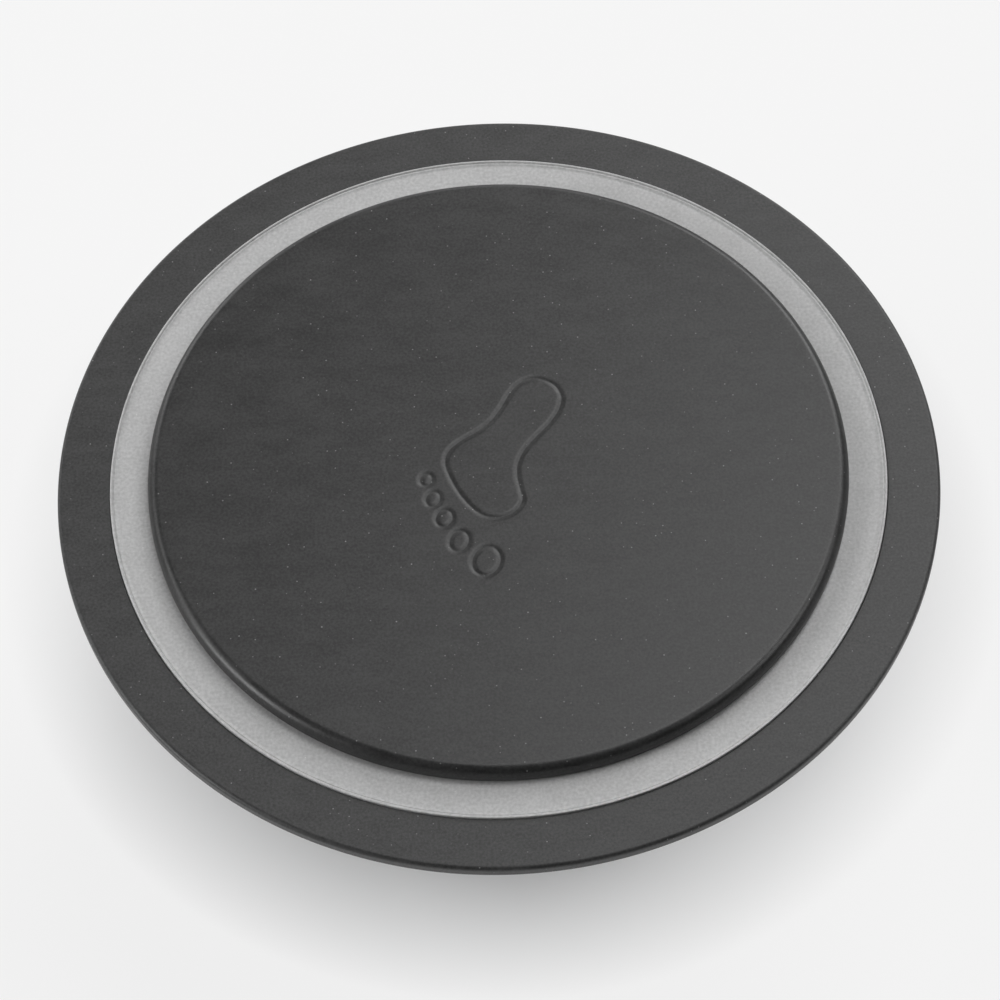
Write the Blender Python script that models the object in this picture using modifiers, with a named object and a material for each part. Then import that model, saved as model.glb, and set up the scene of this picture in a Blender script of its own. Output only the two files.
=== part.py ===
"""A round shower floor drain with a foot-press pop-up cover, for a 50 mm waste pipe.

Lengths are in metres and +Z is up. The origin is the centre of the tail's end face, and the
drain's axis is Z. The drain is shut: its cover is latched down. The outer parts stack up from
the tail's end, the core hangs down from the cover, and the basket joins the two.
"""
from math import cos, pi, radians, sin, tan

import bmesh
import bpy
import numpy as np
from mathutils import Matrix, Vector

# Fits shared by all pieces
FIT_GAP = 0.0003
CUT_OVERRUN = 0.001
JOIN_DEPTH = 0.0006
MERGE_DISTANCE = 0.00001

# How finely round pieces are faceted
WIDE_STEPS = 60
MIDDLE_STEPS = 40
SEAL_STEPS = 32
CORE_STEPS = 32
NARROW_STEPS = 24
SCREW_STEPS = 12
SLOT_END_STEPS = 4
ARC_STEPS = 2
SMOOTH_ANGLE = radians(32)

# Tail and its seal
TAIL_BORE_RADIUS = 0.0190
TAIL_NECK_LENGTH = 0.0050
CUP_WALL = 0.0020
COLLAR_HEIGHT = 0.0014
COLLAR_WIDTH = 0.0015
COLLAR_FROM_END = 0.0020
TAIL_SEAL_HEIGHT = 0.0126
TAIL_SEAL_WALL = 0.0012
TAIL_SEAL_FIN_WIDTH = 0.0022
TAIL_SEAL_FIN_ROOT = 0.0020
TAIL_SEAL_FIN_TIP = 0.0006
TAIL_SEAL_FINS = 3

# Cup above the tail
FUNNEL_HEIGHT = 0.0125
RECESS_LEDGE_WIDTH = 0.0030
RECESS_DEPTH = 0.0031
CUP_FLOOR_FALL = 0.0024
CUP_SIDE_HEIGHT = 0.0038
CUP_CORNER_FILLET = 0.0016
GUSSET_COUNT = 8
GUSSET_THICKNESS = 0.0018
GUSSET_EDGE_INSET = 0.0040
GUSSET_DROP = 0.0022
GUSSET_FOOT_WIDTH = 0.0012

# Flange ring and the flat seal under it
FLANGE_RADIUS = 0.0550
FLANGE_FACE_WIDTH = 0.00625
FLANGE_THICKNESS = 0.0017
FLANGE_UPPER_FILLET = 0.0004
FLANGE_LOWER_FILLET = 0.0008
OPENING_EDGE_FILLET = 0.0003
SEAT_DEPTH = 0.0020
SEAT_WIDTH = 0.00255
SEAT_THICKNESS = 0.0014
SKIRT_STEP = 0.00065
SKIRT_WALL = 0.0015
SKIRT_LENGTH = 0.0036
FLANGE_SEAL_THICKNESS = 0.0012

# Silicone ring of the cover
GASKET_SIDE_GAP = 0.00035
GASKET_SHOWN_WIDTH = 0.0048
GASKET_HIDDEN_WIDTH = 0.0066
GASKET_THICKNESS = 0.0017
LIP_WIDTH = 0.00065
LIP_RISE = 0.0004
LIP_CREASE_DEPTH = 0.0002
LIP_CHAMFER = 0.0006

# Cover and its carrier
CAP_HEIGHT = 0.0020
CAP_SHELL = 0.0008
CAP_SHOULDER_FILLET = 0.0008
LOCATING_RING_WIDTH = 0.0052
BOSS_WALL = 0.0026
BOSS_LENGTH = 0.0082
CARRIER_RIB_COUNT = 8
CARRIER_RIB_THICKNESS = 0.0014
CARRIER_RIB_DEPTH = 0.0024
CARRIER_RIB_ROOT_DEPTH = 0.0060

# Clamp ring and its screws
CLAMP_SIDE_CLEARANCE = 0.0022
CLAMP_THICKNESS = 0.0014
CLAMP_SCREW_COUNT = 4
SCREW_SHANK_RADIUS = 0.0011
SCREW_HEAD_RADIUS = 0.0022
SCREW_HEAD_HEIGHT = 0.0012
SCREW_HEAD_FILLET = 0.0006

# Threaded insert and stop washer
INSERT_WALL = 0.0018
INSERT_LENGTH = 0.0064
STUD_END_ROOM = 0.0006
STOP_WASHER_WIDTH = 0.0042
STOP_WASHER_THICKNESS = 0.0012

# Housing of the push-push core
HOUSING_WALL = 0.0017
HOUSING_TOP_WALL = 0.0022
HOUSING_TOP_CHAMFER = 0.0006
HOUSING_COLLAR_WIDTH = 0.0030
HOUSING_COLLAR_THICKNESS = 0.0018
HOUSING_RIB_DEPTH = 0.0019
HOUSING_RIB_WIDTH = 0.0050
CAM_LUG_COUNT = 4

# Plunger and cam rotor
POP_TRAVEL = 0.0100
STEM_RADIUS = 0.0040
HEAD_STEP_WIDTH = 0.0011
STUD_STEP_WIDTH = 0.0015
STEM_CLEARANCE = 0.00035
PLUNGER_HEAD_HEIGHT = 0.0030
KEY_CLEARANCE = 0.00055
KEY_WIDTH = 0.0026
CROWN_TEETH = 8
CROWN_DEPTH = 0.0012
CAM_SLANT = 0.0010
ROTOR_WALL = 0.0023
PILOT_CLEARANCE = 0.0004
PILOT_LENGTH = 0.0022
ROTOR_LUG_HEIGHT = 0.0021
ROTOR_SPIGOT_LENGTH = 0.0030

# Spring and bottom cap
SPRING_WIRE_RADIUS = 0.0005
SPRING_TURNS = 6
SPRING_POINTS_PER_TURN = 9
SPRING_LENGTH = 0.0107
SPRING_SIDE_CLEARANCE = 0.0004
BOTTOM_CAP_PLUG_HEIGHT = 0.0027
BOTTOM_CAP_FLANGE_THICKNESS = 0.0017
BOTTOM_CAP_DRAIN_RADIUS = 0.0015

# Basket, its gasket, the washer and the nut
BASKET_RIM_RADIUS = 0.0360
BASKET_SIDE_CLEARANCE = 0.0006
BASKET_RIM_THICKNESS = 0.0013
BASKET_RIM_WIDTH = 0.0042
BASKET_WALL = 0.0014
BASKET_DEPTH = 0.0084
BASKET_SLOPE_RUN = 0.0096
BASKET_GASKET_THICKNESS = 0.0010
HUB_WALL = 0.0036
HUB_RISE = 0.0014
HUB_DROP = 0.0012
SLOT_COUNT = 20
SLOT_WIDTH = 0.0022
SLOT_INNER_LAND = 0.0014
SLOT_RIM_LAND = 0.0020
CORE_WASHER_THICKNESS = 0.0010
NUT_SIDES = 6
NUT_WALL = 0.0028
NUT_HEIGHT = 0.0040

# Outer radii, from the flange's rim inwards
OPENING_RADIUS = FLANGE_RADIUS - FLANGE_FACE_WIDTH
SEAT_INNER_RADIUS = OPENING_RADIUS - SEAT_WIDTH
SKIRT_BORE_RADIUS = OPENING_RADIUS + SKIRT_STEP
SKIRT_RADIUS = SKIRT_BORE_RADIUS + SKIRT_WALL
CUP_RADIUS = SKIRT_BORE_RADIUS - FIT_GAP
CUP_INNER_RADIUS = CUP_RADIUS - CUP_WALL
GASKET_RADIUS = OPENING_RADIUS - GASKET_SIDE_GAP
CAP_RADIUS = GASKET_RADIUS - GASKET_SHOWN_WIDTH
GASKET_INNER_RADIUS = CAP_RADIUS - GASKET_HIDDEN_WIDTH
CARRIER_RADIUS = CAP_RADIUS - CAP_SHELL - FIT_GAP
LOCATING_RING_RADIUS = GASKET_INNER_RADIUS - FIT_GAP
LOCATING_RING_BORE = LOCATING_RING_RADIUS - LOCATING_RING_WIDTH
CLAMP_RADIUS = SEAT_INNER_RADIUS - CLAMP_SIDE_CLEARANCE
SCREW_CIRCLE_RADIUS = LOCATING_RING_RADIUS - LOCATING_RING_WIDTH / 2
SCREW_HOLE_RADIUS = SCREW_SHANK_RADIUS + FIT_GAP

# Radii of the cup's seat, the tail and its seal
TAIL_RADIUS = TAIL_BORE_RADIUS + CUP_WALL
COLLAR_RADIUS = TAIL_RADIUS + COLLAR_WIDTH
RECESS_RADIUS = BASKET_RIM_RADIUS + BASKET_SIDE_CLEARANCE
FUNNEL_MOUTH_RADIUS = RECESS_RADIUS - RECESS_LEDGE_WIDTH
TAIL_SEAL_BORE = TAIL_RADIUS + FIT_GAP
TAIL_SEAL_SLEEVE_RADIUS = TAIL_SEAL_BORE + TAIL_SEAL_WALL
TAIL_SEAL_RADIUS = TAIL_SEAL_SLEEVE_RADIUS + TAIL_SEAL_FIN_WIDTH

# Radii of the core, from the plunger's stem outwards
HEAD_RADIUS = STEM_RADIUS + HEAD_STEP_WIDTH
RIB_INNER_RADIUS = HEAD_RADIUS + FIT_GAP
HOUSING_BORE_RADIUS = RIB_INNER_RADIUS + HOUSING_RIB_DEPTH
KEY_RADIUS = HOUSING_BORE_RADIUS - KEY_CLEARANCE
HOUSING_RADIUS = HOUSING_BORE_RADIUS + HOUSING_WALL
HOUSING_COLLAR_RADIUS = HOUSING_RADIUS + HOUSING_COLLAR_WIDTH
STEM_HOLE_RADIUS = STEM_RADIUS + STEM_CLEARANCE
ROTOR_BORE_RADIUS = HEAD_RADIUS - ROTOR_WALL
PILOT_RADIUS = ROTOR_BORE_RADIUS - PILOT_CLEARANCE
SPRING_RADIUS = HEAD_RADIUS - SPRING_WIRE_RADIUS
ROTOR_SPIGOT_RADIUS = SPRING_RADIUS - SPRING_WIRE_RADIUS - SPRING_SIDE_CLEARANCE
STUD_RADIUS = STEM_RADIUS - STUD_STEP_WIDTH
INSERT_BORE_RADIUS = STUD_RADIUS + FIT_GAP
INSERT_RADIUS = INSERT_BORE_RADIUS + INSERT_WALL
BOSS_BORE_RADIUS = INSERT_RADIUS + FIT_GAP
BOSS_RADIUS = BOSS_BORE_RADIUS + BOSS_WALL
STOP_WASHER_BORE = STEM_RADIUS + FIT_GAP
BOTTOM_CAP_PLUG_RADIUS = HOUSING_BORE_RADIUS - FIT_GAP

# Radii of the basket and what clamps the housing in it
HUB_BORE_RADIUS = HOUSING_RADIUS + STEM_CLEARANCE
HUB_RADIUS = HUB_BORE_RADIUS + HUB_WALL
BOWL_MOUTH_RADIUS = BASKET_RIM_RADIUS - BASKET_RIM_WIDTH
BOWL_FLOOR_RADIUS = BOWL_MOUTH_RADIUS - BASKET_SLOPE_RUN
SLOT_INNER_RADIUS = HUB_RADIUS + SLOT_INNER_LAND
SLOT_OUTER_RADIUS = BOWL_MOUTH_RADIUS - SLOT_RIM_LAND
NUT_BORE_RADIUS = HOUSING_RADIUS + FIT_GAP
NUT_CORNER_RADIUS = (NUT_BORE_RADIUS + NUT_WALL) / cos(pi / NUT_SIDES)

# Heights of the outer parts, from the tail's end upwards
TAIL_END = 0.0
LOWER_COLLAR_BOTTOM = TAIL_END + COLLAR_FROM_END
LOWER_COLLAR_TOP = LOWER_COLLAR_BOTTOM + COLLAR_HEIGHT
TAIL_SEAL_BOTTOM = LOWER_COLLAR_TOP + FIT_GAP
TAIL_SEAL_TOP = TAIL_SEAL_BOTTOM + TAIL_SEAL_HEIGHT
UPPER_COLLAR_BOTTOM = TAIL_SEAL_TOP + FIT_GAP
UPPER_COLLAR_TOP = UPPER_COLLAR_BOTTOM + COLLAR_HEIGHT
FUNNEL_BOTTOM = UPPER_COLLAR_TOP + TAIL_NECK_LENGTH
RECESS_FLOOR = FUNNEL_BOTTOM + FUNNEL_HEIGHT
CUP_FLOOR_LOW = RECESS_FLOOR + RECESS_DEPTH
CUP_FLOOR_HIGH = CUP_FLOOR_LOW + CUP_FLOOR_FALL
CUP_TOP = CUP_FLOOR_HIGH + CUP_SIDE_HEIGHT
FLANGE_SEAL_BOTTOM = CUP_TOP + FIT_GAP
FLANGE_SEAL_TOP = FLANGE_SEAL_BOTTOM + FLANGE_SEAL_THICKNESS
SEAT_UNDERSIDE = FLANGE_SEAL_TOP + FIT_GAP
SEAT_TOP = SEAT_UNDERSIDE + SEAT_THICKNESS
FLANGE_TOP = SEAT_TOP + SEAT_DEPTH
FLANGE_UNDERSIDE = FLANGE_TOP - FLANGE_THICKNESS
SKIRT_BOTTOM = SEAT_UNDERSIDE - SKIRT_LENGTH

# Heights of the cover, from the seat upwards
GASKET_UNDERSIDE = SEAT_TOP + FIT_GAP
GASKET_TOP = GASKET_UNDERSIDE + GASKET_THICKNESS
CAP_RIM = GASKET_TOP + FIT_GAP
CAP_TOP = CAP_RIM + CAP_HEIGHT
CAP_UNDERSIDE = CAP_TOP - CAP_SHELL
CARRIER_TOP = CAP_UNDERSIDE - FIT_GAP
CARRIER_UNDERSIDE = GASKET_TOP + FIT_GAP

# Heights under the cover, downwards
CLAMP_TOP = GASKET_UNDERSIDE - FIT_GAP
CLAMP_UNDERSIDE = CLAMP_TOP - CLAMP_THICKNESS
LOCATING_RING_BOTTOM = CLAMP_TOP + FIT_GAP
SCREW_HEAD_TOP = CLAMP_UNDERSIDE - FIT_GAP
SCREW_HEAD_BOTTOM = SCREW_HEAD_TOP - SCREW_HEAD_HEIGHT
SCREW_HOLE_TOP = CARRIER_UNDERSIDE
SCREW_SHANK_TOP = SCREW_HOLE_TOP - FIT_GAP
BOSS_BOTTOM = CARRIER_UNDERSIDE - BOSS_LENGTH
INSERT_TOP = BOSS_BOTTOM + INSERT_LENGTH
BOSS_BORE_TOP = INSERT_TOP + FIT_GAP
STUD_TOP = BOSS_BORE_TOP - STUD_END_ROOM
STOP_WASHER_TOP = BOSS_BOTTOM - FIT_GAP
STOP_WASHER_BOTTOM = STOP_WASHER_TOP - STOP_WASHER_THICKNESS

# Heights of the core, downwards
HOUSING_TOP = STOP_WASHER_BOTTOM - FIT_GAP
HOUSING_CEILING = HOUSING_TOP - HOUSING_TOP_WALL
HEAD_TOP = HOUSING_CEILING - FIT_GAP - POP_TRAVEL
HEAD_BOTTOM = HEAD_TOP - PLUNGER_HEAD_HEIGHT
PLUNGER_TIPS = HEAD_BOTTOM - CROWN_DEPTH
PILOT_BOTTOM = PLUNGER_TIPS - PILOT_LENGTH
ROTOR_TIPS = PLUNGER_TIPS - FIT_GAP
LUG_TOP = ROTOR_TIPS - CROWN_DEPTH
ROTOR_SHOULDER = LUG_TOP - ROTOR_LUG_HEIGHT
ROTOR_BORE_BOTTOM = PILOT_BOTTOM - FIT_GAP
ROTOR_BOTTOM = ROTOR_SHOULDER - ROTOR_SPIGOT_LENGTH
RIB_END = LUG_TOP + FIT_GAP
SPRING_TOP = ROTOR_SHOULDER - FIT_GAP
SPRING_BOTTOM = SPRING_TOP - SPRING_LENGTH
PLUG_TOP = SPRING_BOTTOM - FIT_GAP
PLUG_BOTTOM = PLUG_TOP - BOTTOM_CAP_PLUG_HEIGHT
HOUSING_BOTTOM = PLUG_BOTTOM + FIT_GAP
BOTTOM_CAP_END = PLUG_BOTTOM - BOTTOM_CAP_FLANGE_THICKNESS

# Heights of the basket and what it carries
BASKET_GASKET_BOTTOM = RECESS_FLOOR + FIT_GAP
BASKET_GASKET_TOP = BASKET_GASKET_BOTTOM + BASKET_GASKET_THICKNESS
RIM_UNDERSIDE = BASKET_GASKET_TOP + FIT_GAP
RIM_TOP = RIM_UNDERSIDE + BASKET_RIM_THICKNESS
BOWL_FLOOR_TOP = RIM_TOP - BASKET_DEPTH
BOWL_FLOOR_BOTTOM = BOWL_FLOOR_TOP - BASKET_WALL
HUB_TOP = BOWL_FLOOR_TOP + HUB_RISE
HUB_BOTTOM = BOWL_FLOOR_BOTTOM - HUB_DROP
CORE_WASHER_BOTTOM = HUB_TOP + FIT_GAP
CORE_WASHER_TOP = CORE_WASHER_BOTTOM + CORE_WASHER_THICKNESS
HOUSING_COLLAR_BOTTOM = CORE_WASHER_TOP + FIT_GAP
HOUSING_COLLAR_TOP = HOUSING_COLLAR_BOTTOM + HOUSING_COLLAR_THICKNESS
NUT_TOP = HUB_BOTTOM - FIT_GAP
NUT_BOTTOM = NUT_TOP - NUT_HEIGHT

# Where the lugs, keys and slots of the core stand, and the ribs between them
LUG_PITCH = 2 * pi / CAM_LUG_COUNT
RIB_START_ANGLE = LUG_PITCH / 2

# Colours as linear red, green and blue, then roughness and metallic
FINISHES = {
    "black_coating": ((0.052, 0.052, 0.053), 0.45, 0.0),
    "silicone": ((0.60, 0.61, 0.61), 0.40, 0.0),
    "grey_abs": ((0.22, 0.23, 0.24), 0.40, 0.0),
    "white_acetal": ((0.72, 0.72, 0.70), 0.35, 0.0),
    "black_rubber": ((0.020, 0.020, 0.020), 0.70, 0.0),
    "stainless": ((0.58, 0.57, 0.55), 0.28, 1.0),
    "brass": ((0.72, 0.50, 0.20), 0.30, 1.0),
}


def clear_scene():
    """Remove whatever the file holds, so that the drain stands alone."""
    for obj in list(bpy.data.objects):
        bpy.data.objects.remove(obj, do_unlink=True)


def make_collection(name):
    """A collection that the scene shows."""
    collection = bpy.data.collections.new(name)
    bpy.context.scene.collection.children.link(collection)
    return collection


def make_material(name, finish):
    """A plain Principled material from one line of the finish table."""
    colour, roughness, metallic = FINISHES[finish]
    material = bpy.data.materials.new(name)
    material.use_nodes = True
    shader = material.node_tree.nodes["Principled BSDF"]
    shader.inputs["Base Color"].default_value = (*colour, 1)
    shader.inputs["Roughness"].default_value = roughness
    shader.inputs["Metallic"].default_value = metallic
    return material


def bake(obj):
    """Apply an object's modifiers by taking over its evaluated mesh."""
    graph = bpy.context.evaluated_depsgraph_get()
    mesh = bpy.data.meshes.new_from_object(obj.evaluated_get(graph))
    old = obj.data
    obj.modifiers.clear()
    obj.data = mesh
    bpy.data.meshes.remove(old)
    return obj


def add_object(name, mesh):
    """A mesh object in the drain's collection."""
    obj = bpy.data.objects.new(name, mesh)
    PARTS.objects.link(obj)
    return obj


def rounded(corners):
    """Profile points from corners (radius, height, fillet): a fillet becomes a short arc.

    A fillet takes at most half of each edge beside it.
    """
    points = []
    for index, (radius, height, fillet) in enumerate(corners):
        corner = Vector((radius, height))
        if fillet == 0:
            points.append(tuple(corner))
            continue
        before = Vector(corners[index - 1][:2]) - corner
        after = Vector(corners[(index + 1) % len(corners)][:2]) - corner
        half_angle = before.angle(after) / 2
        reach = min(fillet / tan(half_angle), before.length / 2, after.length / 2)
        before.normalize()
        after.normalize()
        arc_radius = reach * tan(half_angle)
        centre = corner + (before + after).normalized() * (arc_radius / sin(half_angle))
        start = corner + before * reach - centre
        end = corner + after * reach - centre
        for step in range(ARC_STEPS + 1):
            points.append(tuple(centre + arc_radius * start.slerp(end, step / ARC_STEPS)))
    return points


def offset_profile(points, distance):
    """An open profile moved to its left by a distance, with mitred corners."""
    points = np.array(points)
    along = np.diff(points, axis=0)
    along /= np.linalg.norm(along, axis=1)[:, None]
    left = np.column_stack((-along[:, 1], along[:, 0]))
    first = np.vstack((left[:1], left))
    second = np.vstack((left, left[-1:]))
    share = 1 + (first * second).sum(axis=1)
    moved = points + distance * (first + second) / share[:, None]
    return [tuple(point) for point in moved]


def turned(name, profile, steps, closed=True):
    """A turned solid. Its profile stands at +X and runs down its outer side.

    A closed profile makes a ring, and an open one starts and ends on the axis.
    """
    count = len(profile)
    edges = [(index, (index + 1) % count) for index in range(count if closed else count - 1)]
    mesh = bpy.data.meshes.new(name)
    mesh.from_pydata([(radius, 0, height) for radius, height in profile], edges, [])
    obj = add_object(name, mesh)
    screw = obj.modifiers.new("turn", "SCREW")
    screw.axis = "Z"
    screw.steps = steps
    screw.render_steps = steps
    screw.use_merge_vertices = True
    screw.merge_threshold = MERGE_DISTANCE
    return bake(obj)


def flat_ring(name, inner, outer, bottom, top, steps):
    """A plain ring with square edges."""
    return turned(name, [(inner, top), (outer, top), (outer, bottom), (inner, bottom)], steps)


def plate_mesh(outline, thickness):
    """An upright plate in the XZ plane from a closed outline of (x, z) points."""
    curve = bpy.data.curves.new("plate_outline", "CURVE")
    curve.dimensions = "2D"
    curve.fill_mode = "BOTH"
    curve.extrude = thickness / 2
    spline = curve.splines.new("POLY")
    spline.points.add(len(outline) - 1)
    for point, (x, z) in zip(spline.points, outline):
        point.co = (x, z, 0, 1)
    spline.use_cyclic_u = True
    guide = add_object("plate_guide", curve)
    graph = bpy.context.evaluated_depsgraph_get()
    mesh = bpy.data.meshes.new_from_object(guide.evaluated_get(graph))
    bpy.data.objects.remove(guide, do_unlink=True)
    bpy.data.curves.remove(curve)
    mesh.transform(Matrix.Rotation(radians(90), 4, "X"))
    return mesh


def block_mesh(inner, outer, width, bottom, top, slant_bottom=0, slant_top=0):
    """A block on the +X side, between two radii. A slant lifts or lowers its +Y side."""
    work = bmesh.new()
    bmesh.ops.create_cube(work, size=1)
    for vertex in work.verts:
        upper = vertex.co.z > 0
        slant = (-slant_top if upper else slant_bottom) if vertex.co.y > 0 else 0
        vertex.co.x = outer if vertex.co.x > 0 else inner
        vertex.co.y *= width
        vertex.co.z = (top if upper else bottom) + slant
    mesh = bpy.data.meshes.new("block")
    work.to_mesh(mesh)
    work.free()
    return mesh


def slot_outline(inner, outer, width):
    """A slot with round ends along +X, as (x, y) points."""
    half = width / 2
    turns = [pi * step / SLOT_END_STEPS - pi / 2 for step in range(SLOT_END_STEPS + 1)]
    far_end = [(outer - half + half * cos(turn), half * sin(turn)) for turn in turns]
    near_end = [(inner + half - half * cos(turn), -half * sin(turn)) for turn in turns]
    return far_end + near_end


def prism_mesh(radius, bottom, top, sides, distance=0):
    """An upright prism or fine cylinder, its axis at a distance along +X."""
    work = bmesh.new()
    bmesh.ops.create_cone(work, cap_ends=True, segments=sides, radius1=radius, radius2=radius,
                          depth=top - bottom)
    bmesh.ops.translate(work, verts=work.verts, vec=(distance, 0, (top + bottom) / 2))
    mesh = bpy.data.meshes.new("prism")
    work.to_mesh(mesh)
    work.free()
    return mesh


def around(mesh, count, start=0):
    """One mesh with a number of copies of another, evenly spaced about Z."""
    work = bmesh.new()
    for index in range(count):
        copy = mesh.copy()
        copy.transform(Matrix.Rotation(start + 2 * pi * index / count, 4, "Z"))
        work.from_mesh(copy)
        bpy.data.meshes.remove(copy)
    bmesh.ops.remove_doubles(work, verts=work.verts, dist=MERGE_DISTANCE)
    bmesh.ops.recalc_face_normals(work, faces=work.faces)
    joined = bpy.data.meshes.new("tools")
    work.to_mesh(joined)
    work.free()
    return joined


def combine(obj, tool_mesh, operation):
    """Join a mesh to an object, or cut it out, with an exact Boolean."""
    tool = add_object("tool", tool_mesh)
    boolean = obj.modifiers.new("combine", "BOOLEAN")
    boolean.operation = operation
    boolean.solver = "EXACT"
    boolean.object = tool
    bake(obj)
    bpy.data.objects.remove(tool, do_unlink=True)
    return obj


def crown(obj, rim_height, direction):
    """Cut a round of pointed teeth into a flat rim by moving its points up or down."""
    for vertex in obj.data.vertices:
        if abs(vertex.co.z - rim_height) < MERGE_DISTANCE:
            turn = np.arctan2(vertex.co.y, vertex.co.x) * CROWN_TEETH / (2 * pi)
            vertex.co.z += direction * CROWN_DEPTH * abs((turn % 1) * 2 - 1)
    return obj


def make_flange_ring():
    """Face, seat ledge and skirt of the flange."""
    profile = rounded([
        (OPENING_RADIUS, FLANGE_TOP, OPENING_EDGE_FILLET),
        (FLANGE_RADIUS, FLANGE_TOP, FLANGE_UPPER_FILLET),
        (FLANGE_RADIUS, FLANGE_UNDERSIDE, FLANGE_LOWER_FILLET),
        (SKIRT_RADIUS, FLANGE_UNDERSIDE, 0),
        (SKIRT_RADIUS, SKIRT_BOTTOM, 0),
        (SKIRT_BORE_RADIUS, SKIRT_BOTTOM, 0),
        (SKIRT_BORE_RADIUS, SEAT_UNDERSIDE, 0),
        (SEAT_INNER_RADIUS, SEAT_UNDERSIDE, 0),
        (SEAT_INNER_RADIUS, SEAT_TOP, 0),
        (OPENING_RADIUS, SEAT_TOP, 0),
    ])
    return turned("flange_ring", profile, WIDE_STEPS)


def make_flange_seal():
    """Flat ring between the seat's underside and the cup's rim."""
    return flat_ring("flange_seal", CUP_INNER_RADIUS, CUP_RADIUS, FLANGE_SEAL_BOTTOM,
                     FLANGE_SEAL_TOP, MIDDLE_STEPS)


def cup_inner_profile():
    """The cup's wet side, from the rim down to the tail's end."""
    corners = [
        (CUP_INNER_RADIUS, CUP_TOP, 0),
        (CUP_INNER_RADIUS, CUP_FLOOR_HIGH, CUP_CORNER_FILLET),
        (RECESS_RADIUS, CUP_FLOOR_LOW, 0),
        (RECESS_RADIUS, RECESS_FLOOR, 0),
        (FUNNEL_MOUTH_RADIUS, RECESS_FLOOR, 0),
        (TAIL_BORE_RADIUS, FUNNEL_BOTTOM, 0),
        (TAIL_BORE_RADIUS, TAIL_END, 0),
    ]
    return rounded(corners)


def gusset_outline(inner):
    """A web that stands in the cup's wall and runs from under its floor down to the tail."""
    middle = offset_profile(inner, CUP_WALL / 2)
    edge = CUP_RADIUS - GUSSET_EDGE_INSET
    radii, heights = np.array(middle[::-1]).T
    edge_height = float(np.interp(edge, radii, heights))
    tail_middle = TAIL_BORE_RADIUS + CUP_WALL / 2
    foot = UPPER_COLLAR_TOP + GUSSET_FOOT_WIDTH
    in_wall = [(edge, edge_height)]
    in_wall += [point for point in middle if TAIL_RADIUS < point[0] < edge]
    in_wall += [(tail_middle, FUNNEL_BOTTOM), (tail_middle, foot)]
    free_edge = [
        (TAIL_RADIUS + GUSSET_FOOT_WIDTH, foot),
        (RECESS_RADIUS + CUP_WALL, RECESS_FLOOR - CUP_WALL - GUSSET_DROP),
        (edge, edge_height - CUP_WALL / 2 - GUSSET_DROP),
    ]
    return in_wall + free_edge


def make_drain_cup():
    """Cup, funnel and tail as one turned wall, with collars for the seal and gussets."""
    inner = cup_inner_profile()
    outer = offset_profile(inner, CUP_WALL)
    collars = [
        (TAIL_RADIUS, UPPER_COLLAR_TOP),
        (COLLAR_RADIUS, UPPER_COLLAR_TOP),
        (COLLAR_RADIUS, UPPER_COLLAR_BOTTOM),
        (TAIL_RADIUS, UPPER_COLLAR_BOTTOM),
        (TAIL_RADIUS, LOWER_COLLAR_TOP),
        (COLLAR_RADIUS, LOWER_COLLAR_TOP),
        (COLLAR_RADIUS, LOWER_COLLAR_BOTTOM),
        (TAIL_RADIUS, LOWER_COLLAR_BOTTOM),
    ]
    cup = turned("drain_cup", outer[:-1] + collars + outer[-1:] + inner[::-1], MIDDLE_STEPS)
    gusset = plate_mesh(gusset_outline(inner), GUSSET_THICKNESS)
    return combine(cup, around(gusset, GUSSET_COUNT, pi / MIDDLE_STEPS), "UNION")


def make_tail_seal():
    """Sleeve with fins that point up, so that they fold as the tail is pushed in."""
    profile = [(TAIL_SEAL_BORE, TAIL_SEAL_TOP), (TAIL_SEAL_SLEEVE_RADIUS, TAIL_SEAL_TOP)]
    pitch = TAIL_SEAL_HEIGHT / TAIL_SEAL_FINS
    for index in range(TAIL_SEAL_FINS):
        root_top = TAIL_SEAL_TOP - pitch * index - (pitch - TAIL_SEAL_FIN_ROOT)
        root_bottom = root_top - TAIL_SEAL_FIN_ROOT
        profile += [
            (TAIL_SEAL_SLEEVE_RADIUS, root_top),
            (TAIL_SEAL_RADIUS, root_top + TAIL_SEAL_FIN_TIP),
            (TAIL_SEAL_RADIUS, root_top),
        ]
        if index < TAIL_SEAL_FINS - 1:
            profile.append((TAIL_SEAL_SLEEVE_RADIUS, root_bottom))
    profile += [(TAIL_SEAL_SLEEVE_RADIUS, TAIL_SEAL_BOTTOM), (TAIL_SEAL_BORE, TAIL_SEAL_BOTTOM)]
    return turned("tail_seal", profile, SEAL_STEPS)


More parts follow.
